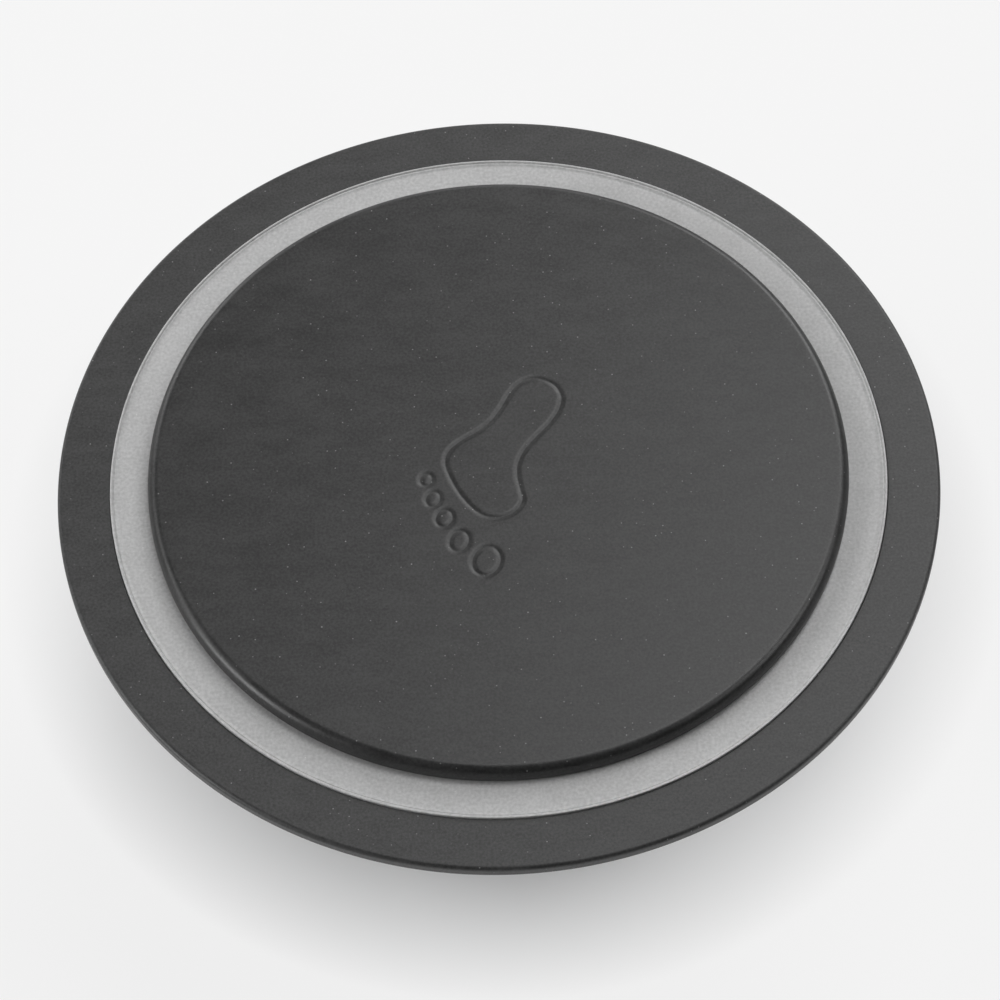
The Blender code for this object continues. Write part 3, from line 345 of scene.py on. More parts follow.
RECESS_RADIUS = BASKET_RADIUS + RECESS_SIDE_CLEARANCE
RECESS_FLOOR = BASKET_GASKET_BOTTOM - FIT_GAP
FUNNEL_MOUTH_RADIUS = RECESS_RADIUS - RECESS_LEDGE_WIDTH
COLLAR_RADIUS = TAIL_RADIUS + COLLAR_WIDTH
UPPER_COLLAR_BOTTOM = TAIL_SEAL_TOP + FIT_GAP
UPPER_COLLAR_TOP = UPPER_COLLAR_BOTTOM + COLLAR_HEIGHT
LOWER_COLLAR_TOP = TAIL_SEAL_BOTTOM - FIT_GAP
LOWER_COLLAR_BOTTOM = LOWER_COLLAR_TOP - COLLAR_HEIGHT
TAIL_SEAL_BORE = TAIL_RADIUS + FIT_GAP
TAIL_SEAL_SLEEVE_RADIUS = TAIL_SEAL_BORE + TAIL_SEAL_WALL
HUB_BORE_RADIUS = HOUSING_RADIUS + STEM_CLEARANCE
HUB_RADIUS = HUB_BORE_RADIUS + HUB_WALL
BOWL_MOUTH_RADIUS = BASKET_RADIUS - BASKET_RIM_WIDTH
BOWL_FLOOR_RADIUS = BOWL_MOUTH_RADIUS - BASKET_SLOPE_RUN
BOWL_FLOOR_TOP = BASKET_RIM_TOP - BASKET_DEPTH
BOWL_FLOOR_BOTTOM = BOWL_FLOOR_TOP - BASKET_WALL
SLOT_INNER_RADIUS = HUB_RADIUS + SLOT_LAND
SLOT_OUTER_RADIUS = BOWL_MOUTH_RADIUS - SLOT_RIM_LAND
NUT_BORE_RADIUS = HOUSING_RADIUS + FIT_GAP
HOUSING_BORE_RADIUS = HOUSING_RADIUS - HOUSING_WALL
HOUSING_CEILING = HOUSING_TOP - HOUSING_TOP_WALL
HOUSING_COLLAR_TOP = HOUSING_COLLAR_BOTTOM + HOUSING_COLLAR_THICKNESS
STEM_HOLE_RADIUS = STEM_RADIUS + STEM_CLEARANCE
RIB_INNER_RADIUS = HOUSING_BORE_RADIUS - HOUSING_RIB_DEPTH
PLUG_BOTTOM = BOTTOM_CAP_END + BOTTOM_CAP_FLANGE_THICKNESS
PLUNGER_TIPS = PILOT_BOTTOM + PILOT_LENGTH
HEAD_BOTTOM = PLUNGER_TIPS + CROWN_DEPTH
HEAD_TOP = HEAD_BOTTOM + PLUNGER_HEAD_HEIGHT
LUG_TOP = ROTOR_TIPS - CROWN_DEPTH
ROTOR_SHOULDER = LUG_TOP - ROTOR_LUG_HEIGHT
ROTOR_BORE_BOTTOM = PILOT_BOTTOM - FIT_GAP
RIB_END = LUG_TOP + FIT_GAP
LUG_PITCH = 2 * pi / KEY_COUNT
HUB_BORDER_RADIUS = HUB_RADIUS + MOULD_FILLET * 2
SLOT_BORDER_RADIUS = SLOT_OUTER_RADIUS + SLOT_LAND
CLAMP_EDGE_WIDTH = FINE_FILLET * 3
BOTTOM_CAP_FILLET = MOULD_FILLET * 2


def unit(vectors):
    """Vectors divided by their lengths."""
    return vectors / np.linalg.norm(vectors, axis=-1, keepdims=True)


def filleted(corners, closed=True):
    """Profile points (radius, height, mark) from corners (radius, height, fillet, mark). Fillets
    and marks are 0 where not given.

    Each corner becomes an arc that touches both of its edges: two radii of the arc, mixed by
    the sines of the angles on either side, turn evenly from one touching point to the other.
    One more point on each edge, just off the arc, keeps the flat beside it flat when shaded.
    An open profile keeps its first and last corner as they are.
    """
    table = np.array([corner + (0,) * (4 - len(corner)) for corner in corners], float)
    place, size, mark = table[:, :2], table[:, 2:3], table[:, 3]
    to_last = np.roll(place, 1, axis=0) - place
    to_next = np.roll(place, -1, axis=0) - place
    lengths = (np.linalg.norm(edge, axis=1, keepdims=True) for edge in (to_last, to_next))
    shorter = np.minimum(*lengths)
    to_last, to_next = unit(to_last), unit(to_next)
    half = np.arccos(np.clip((to_last * to_next).sum(axis=1, keepdims=True), -1, 1)) / 2
    touch = np.minimum(size / np.tan(half), FILLET_LIMIT_SHARE * shorter)
    centre = place + unit(to_last + to_next) * touch / np.cos(half)
    swing = pi - 2 * half
    share = np.linspace(0, 1, ARC_STEPS + 1)
    first = (np.sin((1 - share) * swing) / np.sin(swing))[..., None]
    second = (np.sin(share * swing) / np.sin(swing))[..., None]
    arc = (centre[:, None] + first * (place + to_last * touch - centre)[:, None]
           + second * (place + to_next * touch - centre)[:, None])
    off = touch * (1 + EDGE_MARGIN_SHARE)
    points = np.concatenate(
        ((place + to_last * off)[:, None], arc, (place + to_next * off)[:, None]), axis=1)
    marks = np.repeat(mark[:, None], points.shape[1], axis=1)[..., None]
    points = np.concatenate((points, marks), axis=-1)
    if closed:
        return points.reshape(-1, 3)
    ends = np.column_stack((place, mark))
    return np.concatenate((ends[:1], points[1:-1].reshape(-1, 3), ends[-1:]))


def with_more_rows(profile, spacing):
    """A profile with more points, evenly spaced, on the stretches whose mark is 1."""
    loop = np.vstack((profile, profile[:1]))
    length = np.concatenate(([0], np.cumsum(np.linalg.norm(np.diff(loop[:, :2], axis=0), axis=1))))
    extra = np.arange(0, length[-1], spacing)
    extra = extra[np.interp(extra, length, loop[:, 2]) > MARKED]
    every = np.unique(np.round(np.concatenate((length[:-1], extra)), ROW_DECIMALS))
    return np.column_stack([np.interp(every, length, column) for column in loop.T])


def round_grid(radius, height, angle):
    """Points x = r cos a, y = r sin a, z = h, from arrays that fill each other out."""
    radius, height, angle = np.broadcast_arrays(radius, height, angle)
    return np.stack((radius * np.cos(angle), radius * np.sin(angle), height), axis=-1)


def all_round(columns):
    """Evenly spaced angles, once round."""
    return np.linspace(0, 2 * pi, columns, endpoint=False)


def turned(profile, columns, start=0, close_rows=True):
    """A shell from a profile turned once about Z, with its first column at the start angle."""
    angle = all_round(columns) + start
    return shell(round_grid(profile[:, :1], profile[:, 1:2], angle), close_rows)


def shell(grid, close_rows=True, close_columns=True):
    """A grid of points as a list of points and one of faces, four corners each.

    A closed side joins its last row or column to its first. Where a row shrinks to a point or
    two sides meet, the doubles go when the piece is made.
    """
    rows, columns = grid.shape[:2]
    number = np.arange(rows * columns).reshape(rows, columns)
    if close_rows:
        number = np.vstack((number, number[:1]))
    if close_columns:
        number = np.hstack((number, number[:, :1]))
    faces = (number[:-1, :-1], number[1:, :-1], number[1:, 1:], number[:-1, 1:])
    return grid.reshape(-1, 3), np.stack(faces, axis=-1).reshape(-1, 4)


def moved(part, x, y):
    """A shell moved sideways."""
    points, faces = part
    return points + np.array((x, y, 0)), faces


def about_axis(part, angle):
    """A shell turned about Z."""
    points, faces = part
    turn = np.array(((cos(angle), sin(angle), 0), (-sin(angle), cos(angle), 0), (0, 0, 1)))
    return points @ turn, faces


def add_piece(name, body, slot, shells, *nodes):
    """Make one mesh of some shells, merge what meets, shade it, give it its slot's finish and
    hang it on its body, if it has a single one."""
    points, faces, count = [], [], 0
    for place, corners in shells:
        points.append(place)
        faces += (corners + count).tolist()
        count += len(place)
    mesh = bpy.data.meshes.new(name)
    mesh.from_pydata(np.concatenate(points).tolist(), [], faces)
    work = bmesh.new()
    work.from_mesh(mesh)
    bmesh.ops.remove_doubles(work, verts=work.verts, dist=MERGE_DISTANCE)
    bmesh.ops.recalc_face_normals(work, faces=work.faces)
    work.to_mesh(mesh)
    work.free()
    mesh.shade_smooth()
    mesh.set_sharp_from_angle(angle=SHARP_ANGLE)
    mesh.materials.append(FINISHES[slot])
    piece = bpy.data.objects.new(name, mesh)
    bpy.context.scene.collection.objects.link(piece)
    if body:
        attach(piece, body)
    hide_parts(*nodes)
    return piece


def threaded(profile, bottom, top, pitch, depth, close_rows=True):
    """A turned shell with a thread cut in the stretch of its profile that is marked.

    The radius there shrinks by depth times half of one less the cosine of height over pitch
    less angle, and the cut runs out over one pitch at either end.
    """
    profile = with_more_rows(profile, pitch / THREAD_ROWS_PER_PITCH)
    radius, height, mark = (profile[:, column, None] for column in range(3))
    angle = all_round(NARROW_COLUMNS)
    run_out = np.clip(np.minimum(height - bottom, top - height) / pitch, 0, 1)
    wave = (1 - np.cos(2 * pi * height / pitch - angle)) / 2
    cut = (mark > MARKED) * depth * run_out * wave
    return shell(round_grid(radius - cut, height, angle), close_rows)


def webbed(profile, edge_radii, edge_heights, count, start, thickness, columns_between):
    """A turned shell with thin upright webs that hang from the marked stretch of its profile.

    A web pulls the points over it down to its free edge, which is given by its height at each
    radius. Beside a web each column keeps its distance y from the web's middle plane at every
    radius r, so its angle is arcsin(y / r), and between webs the columns are evenly spread.
    """
    edge = FINE_FILLET
    half = thickness / 2
    side = np.array((half + 2 * edge, half + edge / 2, half, half - edge / 3, half - edge))
    across = np.concatenate((-side, (0,), side[::-1]))
    share = np.concatenate((WEB_PULL, (1,), WEB_PULL[::-1], np.zeros(columns_between)))
    radius, height, mark = (profile[:, column, None] for column in range(3))
    widest = np.minimum(side[0] / np.maximum(radius, side[0]), sin(WEB_SECTOR_SHARE * pi / count))
    beside = np.arcsin(widest * across / side[0])
    between = np.linspace(0, 1, columns_between + 2)[1:-1]
    last = np.arcsin(widest)
    sector = np.concatenate((beside, last + (2 * pi / count - 2 * last) * between), axis=1)
    starts = start + 2 * pi * np.arange(count) / count
    angle = (sector[:, None, :] + starts[:, None]).reshape(len(profile), -1)
    free_edge = np.interp(radius, edge_radii, edge_heights, left=np.inf, right=np.inf)
    drop = np.where(mark > MARKED, np.maximum(height - free_edge, 0), 0)
    return shell(round_grid(radius, height - drop * np.tile(share, count), angle))


def pierced_panel(slot_radius, slot_half_length, slot_middle, inner, outer, half_angle, turn,
                  end_angle, steps, top, bottom):
    """One sector of a ring with a round ended slot through it, as a closed band of points.

    The columns run round the slot and meet points of the sector's border: as many on the outer
    arc, one seam, the inner arc and the other seam. The rows run from the border over the top
    to the slot, round its edge and down its wall, and back along the underside. Heights come
    from two functions of the radius, top and bottom.
    """
    arc_steps, seam_steps = steps
    along_arc = np.linspace(0, 1, arc_steps, endpoint=False)
    along_seam = np.linspace(0, 1, seam_steps, endpoint=False)
    outward = -end_angle + 2 * end_angle * along_arc
    sideways = end_angle + (pi - 2 * end_angle) * along_seam
    middle = slot_half_length * (1 - 2 * along_seam)
    bearing = np.concatenate((outward, sideways))
    centre = np.concatenate((np.full(arc_steps, slot_half_length), middle))
    slot = np.column_stack((centre + slot_radius * np.cos(bearing), slot_radius * np.sin(bearing)))
    slot = np.concatenate((slot, -slot)) + (slot_middle, 0)
    border_radius = np.concatenate((
        np.full(arc_steps, outer), outer + (inner - outer) * along_seam,
        np.full(arc_steps, inner), inner + (outer - inner) * along_seam))
    border_angle = half_angle * np.concatenate((
        2 * along_arc - 1, np.ones(seam_steps), 1 - 2 * along_arc, -np.ones(seam_steps)))
    border = round_grid(border_radius, 0, border_angle)[:, :2]
    spread = np.linspace(1, 0, PANEL_ROWS) ** PANEL_CROWDING
    away = np.linalg.norm(border - slot, axis=1)
    outwards = unit(border - slot)
    bend = np.linspace(0, pi / 2, ARC_STEPS + 1)
    run = np.concatenate((spread, np.zeros(2 * (ARC_STEPS + 1)), spread[::-1]))
    bend = np.concatenate((np.zeros(PANEL_ROWS), bend, bend[::-1], np.zeros(PANEL_ROWS)))
    lift = (1 - np.cos(bend)) * FINE_FILLET
    ease = (1 - np.sin(bend)) * FINE_FILLET
    flat = slot + outwards * (ease[:, None, None] * (1 - run[:, None, None])
                              + run[:, None, None] * away[:, None])
    radius = np.linalg.norm(flat, axis=-1)
    upper = (np.arange(len(run)) < len(run) // 2)[:, None]
    height = np.where(upper, top(radius) - lift[:, None], bottom(radius) + lift[:, None])
    grid = np.concatenate((flat, height[..., None]), axis=-1)
    return about_axis(shell(grid, close_rows=False), turn)


def bar(outline, half_width, edge, slant_low=0, slant_high=0):
    """A short bar along Y from an outline of (x, z) points, its ends eased and closed.

    Each end shrinks towards the outline's middle. A slant moves the points of the lower or
    upper half of the outline up or down in step with y.
    """
    outline = np.array(outline, float)
    middle = outline.mean(axis=0)
    size = np.abs(outline - middle).max()
    scale = np.array((0, 1 - edge / size, 1, 1, 1 - edge / size, 0))[:, None, None]
    along = np.array((-1, -1, -1 + edge / half_width, 1 - edge / half_width, 1, 1)) * half_width
    flat = middle + scale * (outline - middle)
    slant = np.where(outline[:, 1] > middle[1], slant_high, slant_low)
    height = flat[..., 1] + slant * (along[:, None] / half_width + 1) / 2
    grid = np.stack((flat[..., 0], np.broadcast_to(along[:, None], height.shape), height), axis=-1)
    return shell(grid, close_rows=False)


def repeated(part, count, start=0):
    """Copies of a shell, evenly spaced about Z."""
    return [about_axis(part, start + 2 * pi * index / count) for index in range(count)]


def closed_curve(points, steps):
    """A smooth closed curve through points: between two of them it is the cubic whose slopes
    there are half the way from the point before to the point after."""
    points = np.array(points)
    before, after, beyond = (np.roll(points, shift, axis=0) for shift in (1, -1, -2))
    t = np.linspace(0, 1, steps, endpoint=False)[None, :, None]
    start_slope = (after - before)[:, None] / 2
    end_slope = (beyond - points)[:, None] / 2
    curve = ((2 * t**3 - 3 * t**2 + 1) * points[:, None] + (t**3 - 2 * t**2 + t) * start_slope
             + (3 * t**2 - 2 * t**3) * after[:, None] + (t**3 - t**2) * end_slope)
    return curve.reshape(-1, 2)


def toe_outline(x, y, width, length):
    """An ellipse that leans by the toes' lean."""
    angle = all_round(TOE_STEPS)
    across, along = width / 2 * np.cos(angle), length / 2 * np.sin(angle)
    return np.column_stack((x + across * cos(TOE_LEAN) + along * sin(TOE_LEAN),
                            y - across * sin(TOE_LEAN) + along * cos(TOE_LEAN)))


def foot_relief():
    """The cap's top round the foot, as a grid of squares. The engraving's depth is greatest on
    the outlines and falls with the square of what is left of the bank's width, and the least
    distance counts. The root of the sum of squares of distance and bottom radius rounds the
    bottom."""
    outlines = [closed_curve(SOLE_POINTS, SOLE_STEPS_PER_POINT)]
    outlines += [toe_outline(*toe) for toe in TOES]
    margin = GROOVE_BANK_WIDTH + RELIEF_MARGIN
    low = np.concatenate(outlines).min(axis=0) - margin
    high = np.concatenate(outlines).max(axis=0) + margin
    x, y = (np.arange(start, stop, RELIEF_CELL) for start, stop in zip(low, high))
    flat = np.stack(np.broadcast_arrays(x[:, None], y[None, :]), axis=-1)
    least = np.full(flat.shape[:2], np.inf)
    for outline in outlines:
        for stretch in np.array_split(outline, OUTLINE_STRETCHES):
            apart = np.linalg.norm(flat[:, :, None] - stretch, axis=-1).min(axis=-1)
            least = np.minimum(least, apart)
    rounded = np.hypot(least, GROOVE_BOTTOM_RADIUS)
    left = np.clip(1 - rounded / GROOVE_BANK_WIDTH, 0, 1)
    height = CAP_TOP - GROOVE_DEPTH * left**2
    return np.concatenate((flat, height[..., None]), axis=-1)


def flat_between(outer, inner):
    """Flat triangles, at the cap's top, between a loop of points and another one inside it. Those
    with all three points on the inner loop fill it and go."""
    points = np.concatenate((outer, inner))
    ring = np.arange(len(outer))
    hole = len(outer) + np.arange(len(inner))
    edges = np.concatenate([np.column_stack((loop, np.roll(loop, -1))) for loop in (ring, hole)])
    flat, _, triangles, origins, *_ = delaunay_2d_cdt(
        [Vector(point[:2]) for point in points], edges.tolist(), [], 0, MERGE_DISTANCE)
    triangles = np.array(triangles)
    of_hole = np.array([ids[0] for ids in origins]) >= len(outer)
    places = np.array([tuple(point) + (CAP_TOP,) for point in flat])
    return places, triangles[~of_hole[triangles].all(axis=1)]


def make_cover_cap():
    """Raised disc with the outline of a bare foot engraved in its top. Its shoulder is a quarter
    of an ellipse: the sine of the turn gives the radius, and the cosine the height."""
    turn = np.linspace(0, pi / 2, SHOULDER_STEPS)[:, None]
    shoulder = np.concatenate((CAP_RADIUS - SHOULDER_WIDTH * (1 - np.sin(turn)),
                               CAP_TOP - SHOULDER_HEIGHT * (1 - np.cos(turn)), 0 * turn), axis=1)
    flat_radius = CAP_RADIUS - SHOULDER_WIDTH - CAP_FLAT_MARGIN
    flat = np.array([(flat_radius, CAP_TOP, 0), (flat_radius + CAP_FLAT_MARGIN / 2, CAP_TOP, 0)])
    inside = filleted([
        (CAP_RADIUS, CAP_TOP - SHOULDER_HEIGHT),
        (CAP_RADIUS, CAP_RIM, FINE_FILLET),
        (CAP_RADIUS - CAP_SHELL, CAP_RIM, FINE_FILLET),
        (CAP_RADIUS - CAP_SHELL, CAP_UNDERSIDE, FINE_FILLET),
        (0, CAP_UNDERSIDE),
    ], closed=False)
    profile = np.concatenate((flat, shoulder, inside[1:]))
    relief = foot_relief()
    border = np.concatenate((relief[:-1, 0], relief[-1, :-1], relief[:0:-1, -1], relief[0, :0:-1]))
    shells = [
        turned(profile, WIDE_COLUMNS, close_rows=False),
        shell(relief, close_rows=False, close_columns=False),
        flat_between(round_grid(flat_radius, CAP_TOP, all_round(WIDE_COLUMNS)), border),
    ]
    add_piece("cap", "cover", "cover_coating", shells, "cover_cap")


def make_cover_gasket():
    """Silicone ring: flat, with a shallow crease and a soft raised lip round its edge."""
    bead = GASKET_RADIUS - LIP_BEAD_WIDTH
    half_rise = GASKET_TOP + LIP_RISE / 2
    profile = filleted([
        (GASKET_INNER_RADIUS, GASKET_TOP, MOULD_FILLET),
        (GASKET_RADIUS - LIP_SLOPE_WIDTH, GASKET_TOP, LIP_SLOPE_WIDTH),
        (bead - LIP_CREASE_WIDTH, half_rise, FINE_FILLET),
        (bead, half_rise - LIP_CREASE_DEPTH, FINE_FILLET),
        (bead + LIP_CREASE_WIDTH, GASKET_TOP + LIP_RISE, FINE_FILLET),
        (GASKET_RADIUS, GASKET_TOP + LIP_RISE, FINE_FILLET),
        (GASKET_RADIUS, GASKET_UNDERSIDE + LIP_CHAMFER, MOULD_FILLET),
        (GASKET_RADIUS - LIP_CHAMFER, GASKET_UNDERSIDE, MOULD_FILLET),
        (GASKET_INNER_RADIUS, GASKET_UNDERSIDE, FINE_FILLET),
    ])
    add_piece("gasket", "cover", "silicone", [turned(profile, WIDE_COLUMNS)], "cover_gasket")


def make_flange():
    """Flange with its face, rounded rim, seat for the silicone ring and skirt."""
    profile = filleted([
        (OPENING_RADIUS, FLANGE_TOP, OPENING_FILLET),
        (FLANGE_RADIUS, FLANGE_TOP, FLANGE_UPPER_FILLET),
        (FLANGE_RADIUS, FLANGE_TOP - FLANGE_THICKNESS, FLANGE_LOWER_FILLET),
        (SKIRT_RADIUS, FLANGE_TOP - FLANGE_THICKNESS, MOULD_FILLET),
        (SKIRT_RADIUS, SKIRT_BOTTOM, MOULD_FILLET),
        (SKIRT_BORE_RADIUS, SKIRT_BOTTOM, FINE_FILLET),
        (SKIRT_BORE_RADIUS, SEAT_UNDERSIDE, FINE_FILLET),
        (SEAT_INNER_RADIUS, SEAT_UNDERSIDE, MOULD_FILLET),
        (SEAT_INNER_RADIUS, SEAT_TOP, MOULD_FILLET),
        (OPENING_RADIUS, SEAT_TOP, MOULD_FILLET),
    ])
    add_piece("flange", "drain_body", "flange_coating", [turned(profile, WIDE_COLUMNS)],
              "flange_ring")


def make_rings():
    """The flat seals, the washer, the stop washer and the brass insert: flat rings with eased
    edges, as wide and as high as their solids."""
    for node, body, slot, bore, fillet, columns in (
        ("flange_seal", "drain_body", "seal_rubber", CUP_INNER_RADIUS, MOULD_FILLET, WIDE_COLUMNS),
        ("basket_gasket", "strainer_core", "seal_rubber", FUNNEL_MOUTH_RADIUS, MOULD_FILLET,
         MIDDLE_COLUMNS),
        ("core_washer", "strainer_core", "seal_rubber", HUB_BORE_RADIUS, MOULD_FILLET,
         NARROW_COLUMNS),
        ("stop_washer", "cover", "seal_rubber", STOP_WASHER_BORE, MOULD_FILLET, NARROW_COLUMNS),
        ("threaded_insert", "cover", "brass", INSERT_BORE_RADIUS, FINE_FILLET, NARROW_COLUMNS),
    ):
        outer, bottom, top = reach(node)
        profile = filleted([(bore, top, fillet), (outer, top, fillet), (outer, bottom, fillet),
                            (bore, bottom, fillet)])
        add_piece(node + "_ring", body, slot, [turned(profile, columns)], node)


def cup_corners():
    """The cup's profile, down its outer side and up its wet side. The outer side carries webs
    from its floor down to the tail's upper collar."""
    fall = (CUP_FLOOR_HIGH - CUP_FLOOR_LOW) / (CUP_INNER_RADIUS - RECESS_RADIUS)
    under_floor = CUP_WALL * (1 + fall**2) ** 0.5
    steep = (RECESS_FLOOR - FUNNEL_BOTTOM) / (FUNNEL_MOUTH_RADIUS - TAIL_BORE_RADIUS)
    beside_funnel = CUP_WALL * ((1 + steep**2) ** 0.5 - 1) / steep
    floor_out = CUP_FLOOR_HIGH + fall * CUP_WALL - under_floor
    floor_in = CUP_FLOOR_LOW + fall * CUP_WALL - under_floor
    return [
        (CUP_RADIUS, CUP_TOP, MOULD_FILLET),
        (CUP_RADIUS, floor_out, CUP_CORNER_FILLET, 1),
        (RECESS_RADIUS + CUP_WALL, floor_in, MOULD_FILLET, 1),
        (RECESS_RADIUS + CUP_WALL, RECESS_FLOOR - CUP_WALL, MOULD_FILLET, 1),
        (FUNNEL_MOUTH_RADIUS + beside_funnel, RECESS_FLOOR - CUP_WALL, MOULD_FILLET, 1),
        (TAIL_RADIUS, FUNNEL_BOTTOM - steep * beside_funnel / 2, MOULD_FILLET, 1),
        (TAIL_RADIUS, UPPER_COLLAR_TOP, MOULD_FILLET),
        (COLLAR_RADIUS, UPPER_COLLAR_TOP, MOULD_FILLET),
        (COLLAR_RADIUS, UPPER_COLLAR_BOTTOM, FINE_FILLET),
        (TAIL_RADIUS, UPPER_COLLAR_BOTTOM, FINE_FILLET),
        (TAIL_RADIUS, LOWER_COLLAR_TOP, FINE_FILLET),
        (COLLAR_RADIUS, LOWER_COLLAR_TOP, FINE_FILLET),
        (COLLAR_RADIUS, LOWER_COLLAR_BOTTOM, MOULD_FILLET),
        (TAIL_RADIUS, LOWER_COLLAR_BOTTOM, MOULD_FILLET),
        (TAIL_RADIUS, TAIL_END, MOULD_FILLET),
        (TAIL_BORE_RADIUS, TAIL_END, MOULD_FILLET),
        (TAIL_BORE_RADIUS, FUNNEL_BOTTOM, MOULD_FILLET),
        (FUNNEL_MOUTH_RADIUS, RECESS_FLOOR, MOULD_FILLET),
        (RECESS_RADIUS, RECESS_FLOOR, FINE_FILLET),
        (RECESS_RADIUS, CUP_FLOOR_LOW, MOULD_FILLET),
        (CUP_INNER_RADIUS, CUP_FLOOR_HIGH, CUP_CORNER_FILLET),
        (CUP_INNER_RADIUS, CUP_TOP, MOULD_FILLET),
    ]


def make_cup():
    """Cup, funnel and tail in one moulding, with webs under the cup."""
    profile = with_more_rows(filleted(cup_corners()), GUSSET_ROW_SPACING)
    edge = CUP_RADIUS - GUSSET_EDGE_INSET
    foot = UPPER_COLLAR_TOP + GUSSET_FOOT_WIDTH
    edge_radii = (TAIL_RADIUS, TAIL_RADIUS + GUSSET_FOOT_WIDTH, RECESS_RADIUS + CUP_WALL, edge)
    edge_heights = (foot, foot, RECESS_FLOOR - CUP_WALL - GUSSET_DROP, RECESS_FLOOR)
    cup = webbed(profile, edge_radii, edge_heights, GUSSET_COUNT, GUSSET_START,
                 GUSSET_THICKNESS, GUSSET_GAP_COLUMNS)
    add_piece("cup", "drain_body", "cup_abs", [cup], "drain_cup")


def make_tail_seal():
    """Rubber sleeve whose fins rise outwards, so that they fold as the tail is pushed in."""
    corners = [
        (TAIL_SEAL_BORE, TAIL_SEAL_TOP, FINE_FILLET),
        (TAIL_SEAL_SLEEVE_RADIUS, TAIL_SEAL_TOP, MOULD_FILLET),
    ]
    pitch = (TAIL_SEAL_TOP - TAIL_SEAL_BOTTOM) / TAIL_SEAL_FINS
    for index in range(TAIL_SEAL_FINS):
        root_top = TAIL_SEAL_TOP - pitch * (index + 1) + TAIL_SEAL_FIN_ROOT
        corners += [
            (TAIL_SEAL_SLEEVE_RADIUS, root_top, MOULD_FILLET),
            (TAIL_SEAL_RADIUS, root_top + TAIL_SEAL_FIN_TIP, MOULD_FILLET),
            (TAIL_SEAL_RADIUS, root_top, FINE_FILLET),
        ]
        if index < TAIL_SEAL_FINS - 1:
            corners.append((TAIL_SEAL_SLEEVE_RADIUS, root_top - TAIL_SEAL_FIN_ROOT, MOULD_FILLET))
    corners += [
        (TAIL_SEAL_SLEEVE_RADIUS, TAIL_SEAL_BOTTOM, MOULD_FILLET),
        (TAIL_SEAL_BORE, TAIL_SEAL_BOTTOM, FINE_FILLET),
    ]
    add_piece("finned_seal", "drain_body", "seal_rubber",
              [turned(filleted(corners), MIDDLE_COLUMNS)], "tail_seal")


def make_basket():
    """Strainer basket: rim, sloping bowl with twenty slots, and hub."""
    slope = BASKET_DEPTH / BASKET_SLOPE_RUN
    side_step = BASKET_WALL * (1 + slope**2) ** 0.5 / slope
    neck = BOWL_MOUTH_RADIUS + side_step - BASKET_RIM_THICKNESS / slope
    heel = BOWL_FLOOR_RADIUS + side_step - BASKET_WALL / slope
    rim_underside = BASKET_RIM_TOP - BASKET_RIM_THICKNESS
    sector_steps = 2 * SLOT_ARC_STEPS
    inner, outer = HUB_BORDER_RADIUS, SLOT_BORDER_RADIUS

    def top(radius):
        return np.interp(radius, (BOWL_FLOOR_RADIUS, BOWL_MOUTH_RADIUS),
                         (BOWL_FLOOR_TOP, BASKET_RIM_TOP))

    def bottom(radius):
        return np.interp(radius, (heel, neck), (BOWL_FLOOR_BOTTOM, rim_underside))

    slot_middle = (SLOT_INNER_RADIUS + SLOT_OUTER_RADIUS) / 2
    half_length = (SLOT_OUTER_RADIUS - SLOT_INNER_RADIUS - SLOT_WIDTH) / 2
    sector = 2 * pi / SLOT_COUNT
    shells = [
        pierced_panel(SLOT_WIDTH / 2, half_length, slot_middle, inner, outer, pi / SLOT_COUNT,
                      sector * index, SLOT_END_ANGLE, (sector_steps, SLOT_SIDE_STEPS), top, bottom)
        for index in range(SLOT_COUNT)
    ]
    rim = filleted([
        (outer, float(top(outer))),
        (BOWL_MOUTH_RADIUS, BASKET_RIM_TOP, MOULD_FILLET),
        (BASKET_RADIUS, BASKET_RIM_TOP, MOULD_FILLET),
        (BASKET_RADIUS, rim_underside, FINE_FILLET),
        (neck, rim_underside, MOULD_FILLET),
        (outer, float(bottom(outer))),
    ], closed=False)
    hub = filleted([
        (inner, BOWL_FLOOR_BOTTOM),
        (HUB_RADIUS, BOWL_FLOOR_BOTTOM, MOULD_FILLET),
        (HUB_RADIUS, HUB_BOTTOM, MOULD_FILLET),
        (HUB_BORE_RADIUS, HUB_BOTTOM, FINE_FILLET),
        (HUB_BORE_RADIUS, BOWL_FLOOR_TOP + HUB_RISE, FINE_FILLET),
        (HUB_RADIUS, BOWL_FLOOR_TOP + HUB_RISE, MOULD_FILLET),
        (HUB_RADIUS, BOWL_FLOOR_TOP, MOULD_FILLET),
        (inner, BOWL_FLOOR_TOP),
    ], closed=False)
    shells += [turned(profile, SLOT_COUNT * sector_steps, pi / SLOT_COUNT, close_rows=False)
               for profile in (rim, hub)]
    add_piece("basket", "strainer_core", "basket_abs", shells, "strainer_basket")


